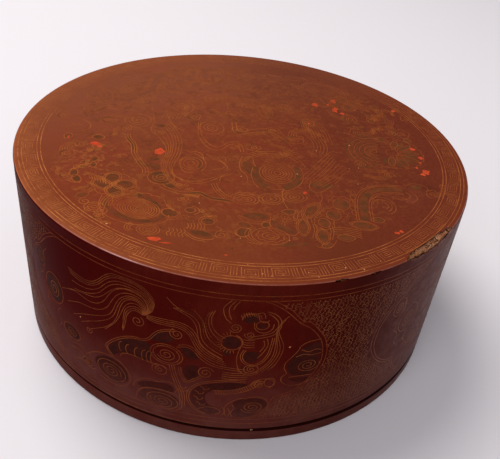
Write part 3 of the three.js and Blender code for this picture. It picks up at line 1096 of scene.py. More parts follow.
def beast_head(sheet):
    sheet.line([(1.4, -8.8), (-1.4, -12.6), (-1.2, -16), (0, -19), (2, -21)])
    sheet.line([(3, -8.8), (0.8, -12.4), (0.9, -16), (2, -19)], [(4.6, -9), (3, -11.4), (2.4, -13.6)])
    sheet.disc(3, -32, 3.6, 3.4)
    sheet.ring(3, -32, 4.3, 4.1)
    rays(sheet, 3, -32, 4.6, 6.2, 100, 282, 14)
    sheet.fill(
        [(6.8, -18.4), (8.4, -16.4), (11, -16), (12.4, -18), (11.6, -20), (8.4, -20.4)],
        [(8.8, -38), (11.4, -36.6), (14.4, -37.6), (15.4, -40), (13.6, -42.6), (10.4, -42.8), (8.6, -40.6)],
        [(13, -21.4), (15.4, -20.6), (16.2, -22.4), (14, -23.8)],
        [(0.2, -37), (2.6, -36.8), (3, -39.4), (1, -39.8)],
        [(8.2, -46.4), (10, -45.6), (10.2, -48), (8.8, -49)],
    )
    sheet.line([(6.2, -18.8), (7, -16.2), (9.4, -15.2), (12, -15), (14, -14.4), (15, -15.6), (15.4, -17.6)])
    sheet.line([(12.6, -16.6), (13.4, -18.8), (15.4, -19.8), (17.2, -18.6)])
    sheet.ring(14.6, -21.4, 2.6, 2.3)
    sheet.line([(11.2, -19.6), (11.6, -23), (13.6, -25.2), (16.6, -25.4), (18.8, -23.4), (19.2, -20.6)])
    sheet.line([(16.4, -15), (18.6, -16.6), (20.8, -19.6), (20.8, -22.8), (18.6, -25.8), (14, -27.2),
                (8.6, -28.4)])
    sheet.line([(15.8, -13.8), (19.4, -15.4), (22, -19), (22, -23.6), (19.4, -27), (14.4, -28.6),
                (9, -29.8)])
    sheet.line(spiral(4, -23.4, 2.7, 2, 200), spiral(10, -27, 2.2, 1.8, 160))
    for step in range(9):
        x = 6.4 + step * 0.95
        rise = 1.5 + 0.5 * math.sin(step)
        sheet.hair([(x - 0.9, -15.6 - 0.5 * abs(step - 4) + rise), (x, -16.2 - 0.4 * abs(step - 4))])
    for height in (-29.6, -31, -32.4, -33.8):
        sheet.line([(7.6, height), (9.6, height - 0.5), (12.4, height - 0.2)])
    sheet.line([(4.4, -27.4), (6.6, -29), (7.6, -32), (6.4, -36), (5.8, -41), (6.4, -45.6), (8, -49.4),
                (12, -51.2), (16, -49.8)])
    jaw = [(8.4, -35.6), (7.2, -39.6), (8.8, -43.6), (12.8, -45.4), (16.8, -43.2), (19.2, -38.6),
           (20, -33.4), (20.4, -28.6)]
    sheet.line(jaw, beside(jaw, 0.9), [(17.4, -29), (18, -33), (16.2, -37.6), (14.4, -40.4)])
    sheet.line([(16, -30), (16.6, -33), (15, -36.6)], spiral(12.4, -47.4, 2, 1.6, 60))
    sheet.ring(12.4, -47.4, 3.1, 2.6)


def clouds(sheet):
    """Ringed clouds round the beast, dark behind their lines."""
    sheet.fill(
        [(41.4, -33.6), (36, -34.2), (33, -36.6), (30.6, -40.4), (28.6, -44), (28.2, -47.4), (29.6, -51),
         (33, -53), (39, -52.6), (41.4, -49.6), (42.2, -44), (42.4, -38)],
        [(29.8, -54.6), (34, -54.4), (39.4, -55.4), (38, -57.4), (33, -57.2)],
    )
    sheet.line(
        [(41, -31.8), (35.8, -32.4), (32.6, -34.4), (31.4, -37.4), (29.4, -40.6), (27, -44), (26.8, -47.6),
         (28.2, -51), (26.2, -53.2), (27, -56.6), (31, -59.2), (37, -58.8), (39.2, -57)],
        [(33, -36.8), (36.4, -38.6), (39.4, -37.6), (42.2, -38.4)],
        [(31, -41), (34.4, -39.8), (38, -40.8), (42.4, -40.4)],
        [(29.4, -53.6), (34, -53.4), (40.6, -53.6)],
        spiral(37.4, -47, 5.4, 2.5, 20, -1, 0.76),
    )
    sheet.fill(
        [(6.6, -70), (10, -67.2), (16, -66.4), (20.6, -68.2), (21.8, -72), (19, -76.4), (14, -79),
         (9, -79.6), (6, -77.4), (7.4, -73.6)]
    )
    sheet.line(
        [(4, -79.4), (3, -75.4), (3.8, -71.6), (6.4, -68.6), (9.6, -66.6), (12.6, -67)],
        [(12.4, -66.4), (16, -65.4), (20.4, -66.8), (22.4, -70.4), (21.8, -74.4), (19, -77.8), (13.4, -80)],
        [(7, -79.6), (6, -77), (7.2, -73.4), (6.2, -71)],
        spiral(15.2, -72.6, 5.2, 2.4, 200, 1, 0.8),
    )
    sheet.fill(
        [(-37.4, -69.4), (-33, -66.2), (-28, -65), (-23, -64), (-19.8, -66.4), (-21, -69), (-26, -68.6),
         (-31, -69.8), (-35.4, -71.4)],
        [(-36.4, -75.4), (-33.4, -71.8), (-28, -70), (-22, -70.2), (-18.2, -73), (-17.6, -77),
         (-20.6, -79.6), (-27, -80.4), (-33, -79.4), (-36.4, -77.6)],
    )
    sheet.line(
        [(-39.6, -73), (-38.4, -69), (-35, -65.6), (-31, -63.9), (-28, -64.4), (-25, -63), (-21, -62.8),
         (-18.6, -65.4), (-19.4, -68.6)],
        [(-38, -79), (-37.4, -75.4), (-34.6, -71.6), (-30, -69.6), (-24, -69), (-19, -69.8), (-16.4, -73.4),
         (-16.2, -78), (-18.8, -80.6)],
        spiral(-25.4, -76.4, 5.8, 2.5, 160, 1, 0.72),
    )
    sheet.ring(-25.4, -76.2, 7.4, 4.9)
    sheet.fill(
        [(-60.4, -66.4), (-56, -62.4), (-50, -61), (-45, -63), (-42.6, -67), (-42.6, -71.4), (-45, -74.4),
         (-50, -76), (-56, -75), (-60, -71)]
    )
    sheet.line(
        [(-67, -69), (-62.6, -64.4), (-57, -61), (-50, -59.8), (-44.5, -62), (-41.4, -67), (-41.6, -72),
         (-45, -76.2), (-51, -77.8), (-58, -76.8)],
        spiral(-51.4, -69.4, 5.6, 2.4, 340, 1, 0.8),
        [(-76, -67), (-71, -65.4), (-67, -67), (-63, -66.6)],
        [(-78, -71), (-72, -69), (-67, -71), (-62, -70.4)],
        [(-74, -76.4), (-69, -74), (-64, -76), (-60.6, -74.6)],
    )
    sheet.ring(-51.4, -69.4, 7.8, 6.2)
    for x, y, across, up in ((-87, -41, 7, 8.4), (-75.6, -60, 6, 4.4), (-97.6, -29, 4, 5.4),
                             (-66, -73, 3, 2.4)):
        sheet.disc(x, y, across * 0.86, up * 0.86)
        sheet.ring(x, y, across, up)
        sheet.line(spiral(x, y, across * 0.62, 2.2, 200, 1, up / across))
    sheet.line(
        [(-99, -40), (-95.6, -36), (-93.6, -31), (-94.6, -25.6), (-91, -21)],
        [(-97, -44), (-93.4, -48), (-94, -53), (-90.6, -57)],
        [(-83, -50.6), (-86, -55), (-83.4, -59.6), (-86, -64)],
    )


def side_ornament():
    chance = random.Random(MARK_SEED)
    for number in range(4):
        name = f"side_panel_{number + 1}"
        lay = on_side(number * QUARTER)
        frame_lines = drawn_lines(frames_and_borders().lines, FRAME_WIDTH)
        laid(f"{name}_frame", frame_lines, lay, "gold_line", BORDER_GOLD)
        figure = Sheet()
        beast(figure)
        clouds(figure)
        laid(f"{name}_lines", drawn_lines(figure.lines, LINE_WIDTH), lay, "gold_line", SIDE_GOLD)
        laid(f"{name}_hair", drawn_lines(figure.fine, FINE_WIDTH), lay, "gold_line", SIDE_GOLD)
        laid(f"{name}_fills", drawn_fills(figure.fills), lay, "dark_fill", SIDE_DARK)
        marks = ground_marks(chance)
        laid(f"{name}_ground", drawn_lines(marks.fine, FINE_WIDTH), lay, "gold_line", GROUND_GOLD)


# The lid's top: a key fret round the rim, a roundel, and scrolls between them
FRET_UNITS = 56
FRET_MIDDLE = 107.6
FRET_INSIDE = 104.9
FRET_REACH = 5.3
FRET_TURN = math.radians(2)
FRET_KEY = [
    (0, 0), (0, 5.3), (6.6, 5.3), (6.6, 1.1), (1.2, 1.1), (1.2, 4.2), (5.4, 4.2), (5.4, 2.2), (2.4, 2.2),
    (2.4, 3.2), (4.3, 3.2),
]
FRET_BARS = (7.9, 9.1, 10.3)
RING_STEPS = 240
RINGS = [(102.3, None), (103.9, None), (110.95, None), (112.6, (38.9, 56.4))]


def stepped(points, longest=2.5):
    """Straight runs cut into short steps, so that they can bend."""
    found = [points[0]]
    for start, end in zip(points, points[1:]):
        start, end = Vector(start), Vector(end)
        steps = math.ceil((end - start).length / longest)
        found += [tuple(start.lerp(end, (step + 1) / steps)) for step in range(steps)]
    return found


def fret():
    """The key fret round the rim, with every other unit turned over."""
    pitch = math.tau * FRET_MIDDLE / FRET_UNITS
    routes = []
    for unit in range(FRET_UNITS):
        plans = [FRET_KEY] + [[(x, 0), (x, FRET_REACH)] for x in FRET_BARS]
        for plan in plans:
            route = []
            for x, height in stepped(plan):
                angle = (unit * pitch + x) / FRET_MIDDLE + FRET_TURN
                reach = FRET_INSIDE + (FRET_REACH - height if unit % 2 else height)
                route.append((reach * math.sin(angle), -reach * math.cos(angle)))
            routes.append((route, False))
    return routes


def rings():
    """Circles round the top, left open where the rim has broken away."""
    routes = []
    for radius, gap in RINGS:
        start, end = gap or (0, 0)
        turn = 360 - (end - start)
        count = RING_STEPS if gap is None else RING_STEPS + 1
        angles = [math.radians(end + turn * step / RING_STEPS) for step in range(count)]
        points = [(radius * math.sin(angle), -radius * math.cos(angle)) for angle in angles]
        routes.append((points, gap is None))
    return routes


def leaf(sheet, x, y, across, up, tilt=0, outlines=1, gap=1.1):
    """A dark leaf, pointed where it is long, with thin outlines."""
    if across <= up:
        across, up, tilt = up, across, tilt + 90
    sharpness = max(min(across / up - 1.2, 0.6), 0)

    def edge(wider):
        shape = []
        for step in range(16):
            angle = math.tau * step / 16
            narrow = abs(math.sin(angle)) ** sharpness
            shape.append(((across + wider * 1.3) * math.cos(angle),
                          (up + wider) * math.sin(angle) * narrow))
        return moved(shape, x, y, tilt=tilt)

    sheet.fill(edge(0.2))
    for number in range(outlines):
        sheet.line(edge(0.7 + gap * number * 0.8), closed=True)


def rays(sheet, x, y, inner, outer, start, end, count):
    """Fine strokes that point away from a middle, from one angle to another."""
    for step in range(count):
        angle = math.radians(start + (end - start) * step / (count - 1))
        way = (math.cos(angle), math.sin(angle))
        sheet.hair([(x + inner * way[0], y + inner * way[1]), (x + outer * way[0], y + outer * way[1])])


def scallops(sheet, x, y, across, up, count, start=0, end=360, depth=1.1):
    """A lobed line along an ellipse, or along a part of it."""
    points = []
    for step in range(count * 4 + 1):
        angle = math.radians(start + (end - start) * step / (count * 4))
        swell = depth * abs(math.sin(math.pi * step / 4))
        points.append((x + (across + swell) * math.cos(angle), y + (up + swell) * math.sin(angle)))
    sheet.lines.append((points, False))


CLOUD_EDGE = [
    (-3.6, -1.6), (-4.3, 0.4), (-3.2, 2.4), (-1.5, 2.9), (0, 4.2), (1.9, 3.8), (3, 2.5), (4.7, 2.2),
    (5.3, 0.6), (4.2, -0.8),
]
CLOUD_SHADE = [
    (-3, -1.6), (-1.8, -3.5), (0.6, -4.2), (3, -3.4), (4.2, -1.6), (2.4, -2.1), (0.4, -2.8), (-1.6, -2.3),
]
CLOUD_TAILS = [
    [(3.4, -1), (6, -2.6), (9, -2.4), (12, -0.4), (15, 0)],
    [(1, -4.4), (5, -6), (9, -5.4), (13, -3), (16.4, -2.6)],
]


def cloud(sheet, x, y, size, tilt, hand):
    """A curled cloud, dark behind its curl, with a flowing tail."""
    place = (x, y, size, tilt, hand)
    sheet.line(moved(spiral(0, 0, 2.6, 1.9, 200), *place), moved(CLOUD_EDGE, *place))
    sheet.fill(moved(CLOUD_SHADE, *place))
    sheet.strands([moved(tail, *place) for tail in CLOUD_TAILS], 2, 8)


ROUNDEL_CLOUDS = [
    (-21, 43, 1.2, 75, 1), (20, 44, 1.1, 20, -1), (9, 27, 1, 100, 1), (26, 4, 1.1, 60, -1),
    (-4, 9, 0.9, 0, 1), (-29, 18, 0.9, 110, -1), (5, -9, 0.8, 200, 1), (33, 26, 1, 300, 1),
    (-6, -23, 0.7, 30, 1), (-8, 26, 0.9, 160, -1), (14, 12, 0.9, 330, 1), (0, 38, 1, 10, 1),
    (22, -12, 0.8, 140, 1),
]
FIELD_CLOUDS = [
    (-84, 14, 1, 100, 1), (-73, 4, 0.9, 20, -1), (-68, 22, 1, 60, 1), (-90, 36, 1, 80, 1),
    (-62, -2, 0.7, 250, 1), (-84, -34, 0.9, 80, -1), (-70, 42, 1.1, 50, 1), (-96, 4, 0.8, 100, -1),
    (-58, 30, 0.8, 80, 1), (60, 20, 1, 40, 1), (86, 24, 1.1, 100, -1), (60, -14, 0.9, 340, 1),
    (92, -36, 0.8, 60, 1), (76, 40, 1.1, 120, 1), (58, 36, 1, 140, -1), (92, 44, 0.9, 120, 1),
    (-52, 56, 1.1, 30, 1), (-74, 60, 1.1, 40, -1), (-34, 66, 1.1, 20, 1), (-10, 62, 1.2, 10, 1),
    (14, 62, 1.2, 350, -1), (38, 58, 1.1, 330, 1), (62, 62, 1.1, 140, 1), (-20, 86, 1.1, 10, -1),
    (6, 84, 1.2, 0, 1), (30, 84, 1.1, 340, -1), (52, 78, 1, 330, 1), (-46, 82, 1.1, 30, 1),
    (72, -22, 0.8, 190, -1),
]


def roundel(sheet):
    """The great figure in the middle of the top, made of hair, curls and spirals."""
    for place in ROUNDEL_CLOUDS:
        cloud(sheet, *place)
    roundel_hair(sheet)
    roundel_head(sheet)
    near_curls(sheet)
    great_spiral(sheet)


def roundel_hair(sheet):
    """The ribbons of hair that sweep round the roundel, with flowing lines and curls."""
    sheet.strands(
        [
            [(-46.6, -4.8), (-43.4, -9.6), (-39.4, -17), (-38.2, -24.8), (-39, -32.8), (-37.8, -39),
             (-35.4, -45), (-31.4, -50.6), (-26.8, -54.4)],
            [(-43.4, 3.8), (-39, -3), (-36.2, -12.2), (-35.4, -22.2), (-36, -31.2), (-35.6, -38.6),
             (-33, -45.4), (-28.8, -49.8), (-24, -51.4)],
            [(-42.4, 11), (-35, -1.2), (-31.8, -12.2), (-31.2, -22.4), (-32.4, -31.4), (-33, -38.2),
             (-30.8, -44), (-26.2, -47.4), (-20.6, -48.6), (-14.4, -45.2), (-9.8, -39.8), (-6.6, -36.4)],
        ],
        2,
        22,
    )
    sheet.strands(
        [
            [(-46, 12), (-43, 24), (-35, 35), (-24, 43), (-12, 47.4), (2, 48.6), (16, 46.4), (28, 40.4),
             (38, 30), (43.6, 18), (46, 4)],
            [(-35, 15), (-32.6, 23), (-26, 31), (-17, 37), (-6, 40), (6, 40), (17, 37), (26, 30.4),
             (32.6, 21), (35.6, 9)],
        ],
        5,
        30,
    )
    sheet.strands(
        [
            [(28, -35), (31, -29), (35.4, -21), (39, -14), (44, -5)],
            [(34, -36.6), (38.6, -30), (43, -22), (46.6, -14)],
            [(38, -40), (43.4, -34.4), (49, -27), (53.6, -21)],
        ],
        3,
        12,
    )
    sheet.strands([[(27, 16), (33, 9), (36, 1), (35, -7)], [(33, 19), (40, 10), (43, 0), (42, -8)]], 3, 10)
    sheet.strands([[(2, -16), (8, -12), (14, -14), (20, -11), (27, -4)],
                   [(5, -19), (10, -16), (17, -17), (28, -10)]], 2, 12)
    sheet.line(
        [(-26, 12), (-24.8, -0.6), (-21.4, -9.6), (-16.8, -15), (-11.8, -14.8), (-7.6, -8.2), (-4, -9),
         (-1.6, -14.8)],
        [(-24.8, 12.8), (-23.6, 1.2), (-20.4, -6.8), (-16.4, -11.6), (-12.6, -11.8), (-7.8, -5.6),
         (-3.4, -6), (-0.2, -12.6)],
        [(-8.4, 16.8), (-6.6, 6), (-2.6, 3.4), (2.6, 7), (9.2, 9.6), (14.6, 8.6), (20, 3), (24.4, -3.8)],
        [(-6.2, 17.2), (-4.8, 8.6), (-1.8, 7), (2.6, 10.2), (9.2, 13), (15.4, 12.2), (21.2, 6.8),
         (26, -0.4)],
        [(4.6, 40), (6.2, 32.2), (9.8, 25.4), (15.6, 21.8), (20, 19.2), (27.8, 17.4)],
        [(7.4, 40.6), (9, 33.8), (12, 28.6), (16.8, 25.6), (21.2, 23), (28.4, 21.6)],
        [(-53.2, 24.2), (-50.6, 15), (-49, 6.6), (-49.4, -1), (-46.4, -6.4)],
        [(-45, 22.6), (-43, 15.6), (-40.2, 9.2), (-36.4, 3.6), (-32.4, 1.2)],
        [(-13.8, 46), (-12.2, 35.8), (-10.2, 28.6), (-6.4, 20.8)],
        [(-29, -18.8), (-26.6, -20.4), (-23.8, -19.2), (-20.6, -21.4), (-19.2, -26.6)],
    )
    sheet.line(spiral(-44.2, -3.8, 3, 1.8, 120))
    sheet.line(spiral(-20.2, 42.6, 6.4, 4.4, 30))
    sheet.disc(-45, 4, 3, 1.6)
    sheet.line(spiral(-18.6, 7.6, 4.6, 2.2, 80))
    sheet.ring(-18.6, 7.6, 6.6, 7)
    sheet.line(spiral(-38, 28, 5, 2, 10), spiral(-57.6, 7, 5, 2.2, 200))
    sheet.ring(-38, 28, 7.6, 8.4)
    sheet.ring(-57.6, 7, 6.8, 7.6)
    sheet.line([(-3.4, -7), (-2.4, -11), (-1.6, -15)], [(-2, -6.6), (-0.8, -10.6), (-0.4, -14.4)])
    sheet.line([(7, -13), (14, -11), (22, -12), (28, -17), (31, -24)],
               [(7, -15), (14, -13), (21, -14), (27, -19)])


def roundel_head(sheet):
    """Head and claws in the roundel's near half."""
    sheet.rings(-25, -31, (1.6, 2), (3.6, 4.2), (5.6, 6))
    sheet.fill([(-22, -25), (-19.6, -27.6), (-18.8, -31.6), (-19.8, -35.6), (-21.4, -33.6), (-21, -30),
                (-22.8, -27)])
    sheet.fill(
        [(-45, -29.4), (-41.4, -29), (-40.4, -31), (-44, -31.6)],
        [(-50, -33.6), (-46.4, -34.6), (-43.6, -38), (-47, -38.4), (-50, -36.4)],
        [(-44, -34.4), (-40.4, -35), (-38.6, -38), (-40.6, -39.8), (-43.4, -38)],
        [(-35, -50.6), (-32, -49.4), (-29.4, -52.4), (-31, -54), (-33.8, -53)],
    )
    sheet.line(
        [(-24.6, -21.4), (-22, -22.8), (-19.6, -25.4), (-18, -29), (-17.8, -33), (-19.4, -37.6)],
        [(-18.4, -21), (-14.6, -24), (-11, -26.4), (-8.4, -29.4), (-9.6, -32.4), (-13, -34.2), (-16, -36)],
        [(-13, -23), (-10, -26.6), (-7.6, -29.8), (-7.4, -32.6)],
        [(-29.6, -27), (-30, -32), (-29, -36.6), (-26.4, -39.4), (-22.4, -38.6)],
    )
    sheet.disc(-37, -46.4, 5.2, 4.8)
    sheet.line(spiral(-37, -46.4, 4, 2.1, 160))
    sheet.ring(-37, -46.4, 6.2, 5.8)
    sheet.line(spiral(-28, -51.4, 1.7, 1.4, 0), spiral(-24.4, -50.6, 1.5, 1.4, 90),
               spiral(-22.4, -53.4, 1.6, 1.4, 180))
    ribbon = [(-60, -8.6), (-58.6, -13), (-55.6, -17.4), (-54, -22), (-53.2, -26.4), (-51, -31),
              (-48.8, -35), (-45.6, -40), (-44.6, -44)]
    sheet.line(ribbon, beside(ribbon, 1.2), beside(ribbon, -1.4))
    sheet.fill([(-59.4, -10), (-57, -14.4), (-54.4, -18), (-53, -23), (-52.8, -26.2), (-54.8, -23.4),
                (-56, -18.6), (-58.8, -14.4)])
    edge = [(-35.6, -52.4), (-32, -54.6), (-27, -56.4), (-22.6, -56), (-18, -55), (-15, -56.6),
            (-11.6, -58.4), (-6, -58.6), (-2, -60)]
    sheet.line(edge, beside(edge, -1.9))
    sheet.fill(
        [(-24.6, -56.2), (-21, -55.4), (-17, -54.8), (-14.4, -56.4), (-11.4, -58.2), (-6, -58.4),
         (-3, -59.8), (-7, -60.4), (-12.4, -60), (-15.6, -58.2), (-18, -57), (-22, -57.6)]
    )
    claw = [(-12.6, -46.6), (-11, -51), (-8.6, -54.6), (-5.4, -57.8)]
    sheet.line(claw, beside(claw, -1.2), beside(claw, 1.3))


def near_curls(sheet):
    """Curls along the roundel's near edge."""
    for x, y in ((3.2, -57.2), (14.4, -54.6), (25.2, -51)):
        for across, up in ((0.9, 0.6), (2.4, 1.8), (4.2, 3.2), (5.8, 4.4)):
            sheet.ring(x, y, across, up, 12)
    scallops(sheet, 3.4, -57.6, 7, 5.4, 5, 5, 175, 0.9)
    scallops(sheet, 25.2, -51, 7, 5.4, 4, 20, 150, 0.8)
    sheet.line([(20.2, -44.6), (19.4, -50), (20, -55.6), (22, -61)])


def great_spiral(sheet):
    """The great spiral and its dark crescents."""
    for across in (1.6, 3, 4.4, 5.8, 7.2, 8.8):
        sheet.ring(17, -31.6, across, across * 1.06)
    sheet.fill(
        [(26.8, -23.6), (29, -31), (28.4, -37.6), (25.6, -42.6), (21.6, -45.8), (19.6, -43.2),
         (22.8, -38.6), (24.8, -33), (24.6, -27)],
        [(5.4, -27.4), (4.8, -35), (6.4, -41.8), (10.4, -46.2), (14.6, -44.8), (11.4, -40.4), (9, -35),
         (8.2, -29.2)],
        [(0.8, -19.6), (-0.2, -26), (1.2, -31.6), (4, -34.4), (4.6, -30), (3.2, -24), (2.8, -20.4)],
        [(32.4, -37.8), (36, -35.6), (41, -36), (45, -38.4), (41.4, -40.6), (36.6, -41.6), (33.6, -40.4)],
    )
    sheet.line(
        [(28.4, -24), (29.6, -31), (28.8, -37.6), (26.2, -42.4), (22.8, -45.8)],
        [(5, -28.6), (4.4, -35), (5.8, -41.6), (8, -46.4)],
        [(-0.6, -19), (-1.8, -26), (-0.6, -32.6), (2.4, -37), (3, -43)],
        [(4.6, -19.6), (5.2, -24.6), (6.4, -27.6)],
        [(33.4, -36), (32.2, -40.6), (34, -44.6), (37.6, -44.4), (41.4, -40.4), (43.6, -36.6)],
    )
    sheet.line([(12, -44.6), (16, -46.4), (19.6, -45.4)],
               [(-4.6, -36.6), (-7, -38.6), (-9.6, -40.6), (-10, -44)])
    sheet.line([(37.4, -46), (38, -50), (36.6, -54)], [(44.6, -36), (47.6, -31), (49, -26)])


def scrolls(sheet):
    """Flowers and cloud bands between the roundel and the fret, for the near half."""
    dark_flower(sheet)
    great_shell(sheet)
    front_flower(sheet)
    cloud_band(sheet)


def dark_flower(sheet):
    """A flower of dark petals at the left, with leaves and small clouds round it."""
    for x, y, across, up, tilt in (
        (-58.6, -50.8, 3.2, 2.5, 80), (-52, -55.4, 3.3, 2.6, 20), (-62.2, -56.8, 3.2, 2.5, 150),
        (-55.4, -61.2, 3.2, 2.6, 300),
    ):
        leaf(sheet, x, y, across, up, tilt, 2, 1.1)
    sheet.line(spiral(-57, -56, 1.6, 1.4, 0))
    scallops(sheet, -56.6, -56.2, 9.4, 8.4, 7, -140, 130, 1)
    for step in range(7):
        x = -72 + step * 1.35
        sheet.line([(x, -47.6 - step * 0.5), (x + 2.6, -50.4 - step * 0.5), (x + 3.8, -53.4 - step * 0.6)])
    for step in range(5):
        x = -69.6 + step * 1.2
        sheet.line([(x, -55.6 - step * 0.4), (x + 1.6, -57.4 - step * 0.4), (x + 3.4, -58 - step * 0.4)])
    for x, y, across, up, tilt in (
        (-76.4, -50, 1.2, 2.8, 10), (-74, -54.6, 1.3, 2.8, 30), (-70.4, -36.6, 2.2, 1, 60),
        (-73, -39.4, 2.2, 1, 20), (-73.4, -43.8, 1.6, 0.9, 0), (-69.6, -41.4, 1.8, 0.8, 100),
        (-68.2, -67, 2.2, 1.3, 40), (-88, -17, 1.3, 1.8, 0), (-73.4, -15, 2.2, 1.6, 0),
        (-29, -73.6, 2.9, 2.2, -20), (-12.2, -77, 2, 1.7, 0), (-20.6, -70, 1.4, 1.2, 0),
    ):
        leaf(sheet, x, y, across, up, tilt, 1, 1.2)
    for place in ((-76, -45, 0.5, 70, 1), (-80, -53, 0.5, 120, -1), (-66, -62, 0.45, 200, 1),
                  (-25, -62, 0.5, 20, -1), (-74, -28, 0.5, 60, 1), (-30, -66, 0.4, 300, 1),
                  (-15, -70, 0.45, 340, 1), (-58, -81, 0.5, 330, 1)):
        cloud(sheet, *place)
    sheet.line([(-77.6, -56.6), (-74, -58), (-71.4, -56)],
               [(-79, -48), (-76.4, -45), (-72.6, -41.4), (-68.4, -40)])
    sheet.line([(-74.6, -35), (-71, -33.6), (-67.8, -36.4), (-68.4, -41)], spiral(-66, -71.6, 2.8, 1.6, 90))
    sheet.line(spiral(-57.6, -77, 3.2, 1.8, 200), spiral(-63, -77.4, 2.2, 1.4, 30),
               spiral(-80, -24, 3.4, 1.8, 0))
    sheet.line([(-85, -12), (-80, -8), (-80.6, -2), (-86, 2)],
               [(-83, -30), (-77, -32), (-73, -28), (-75, -22)])


def great_shell(sheet):
    """The great shell, with ringed curls beside it."""
    for step in range(8):
        sheet.ring(-42.6, -73, 1.2 + step * 1.15, 0.8 + step * 0.88, tilt=-12)
    for step in range(6):
        sheet.line(ellipse(-43.4, -72.4, 10 + step * 1.2, 7.4 + step * 1.1, -12, 105, 200, 8))
    sheet.fill(
        [(-58, -67), (-57.6, -73), (-53, -79), (-44.6, -82.4), (-36, -82), (-31, -78.2), (-30.8, -74.8),
         (-32.4, -74.8), (-34, -78.4), (-38, -80.8), (-44.6, -81), (-51, -78.2), (-55.4, -73),
         (-57, -67.2)],
        [(-54, -74.6), (-49.6, -79.4), (-43, -80.6), (-38, -80), (-43, -79.2), (-49, -77.6)],
        [(-45.6, -61.4), (-41, -62.6), (-36.4, -66), (-33.2, -70.2), (-34.4, -71.4), (-38, -68),
         (-42, -64.8), (-46, -63.6)],
    )
    outer = [(-59.8, -65.6), (-59.6, -73.4), (-54.4, -80.6), (-45, -84.2), (-35, -83.8), (-29.6, -79.6),
             (-29.2, -75.6)]
    inner = [(-55.2, -66), (-53.6, -72.2), (-50, -76.4), (-44.4, -78.8), (-38.4, -78.6), (-35, -76.2)]
    sheet.line(outer, inner)
    scallops(sheet, -43, -66, 8.4, 4.6, 4, 20, 165, 1.1)
    sheet.line([(-36.4, -62), (-33, -64), (-31.6, -67.4), (-29, -69.4), (-26.4, -68), (-25, -70.6)])
    sheet.line([(-25.6, -71.4), (-24.4, -74.6), (-26, -78), (-29.6, -79.2)], spiral(-22.4, -76, 2, 1.4, 0))
    sheet.rings(-36, -87, (1, 0.7), (2.2, 1.7), (3.5, 2.7), (4.8, 3.7))
    sheet.rings(-61, -75, (1.2, 0.9), (2.8, 2.2), (4.4, 3.4))
    for reach in (3.4, 4.8, 6.2):
        sheet.line(ellipse(-41, -86.4, reach * 0.8, reach * 0.6, 0, 120, 240, 6))
    for x in (-28, -26.4, -24.8, -23.2, -21.6):
        sheet.line([(x, -84.4), (x + 0.9, -86), (x - 0.3, -87.8), (x + 0.5, -89.8)])
    sheet.line(ellipse(-12.2, -77, 4, 3.6, 0, 10, 230, 10), spiral(-6, -85.6, 2.9, 1.7, 60))
    for step in range(6):
        x = -20.6 + step * 1.35
        sheet.line([(x, -79.8 + 0.2 * step), (x + 0.6, -81.6), (x + 0.2, -83.6)])
    sheet.fill([(-18.8, -84.8), (-14, -84.2), (-9.8, -86), (-9.6, -88), (-13, -88), (-17, -87.2)],
               [(-9, -84.4), (-7, -83.4), (-6.4, -85), (-8.2, -86)])
    sheet.line([(-19.8, -86.4), (-16.6, -89), (-12, -89.8), (-8.6, -88.6)],
               [(-21, -86.8), (-17, -90.2), (-12, -91)])
    sheet.line([(-8.6, -80), (-6.2, -81.4), (-7, -83.2)],
               [(-20.4, -66.8), (-17.6, -68), (-16.6, -71), (-18.6, -73)])


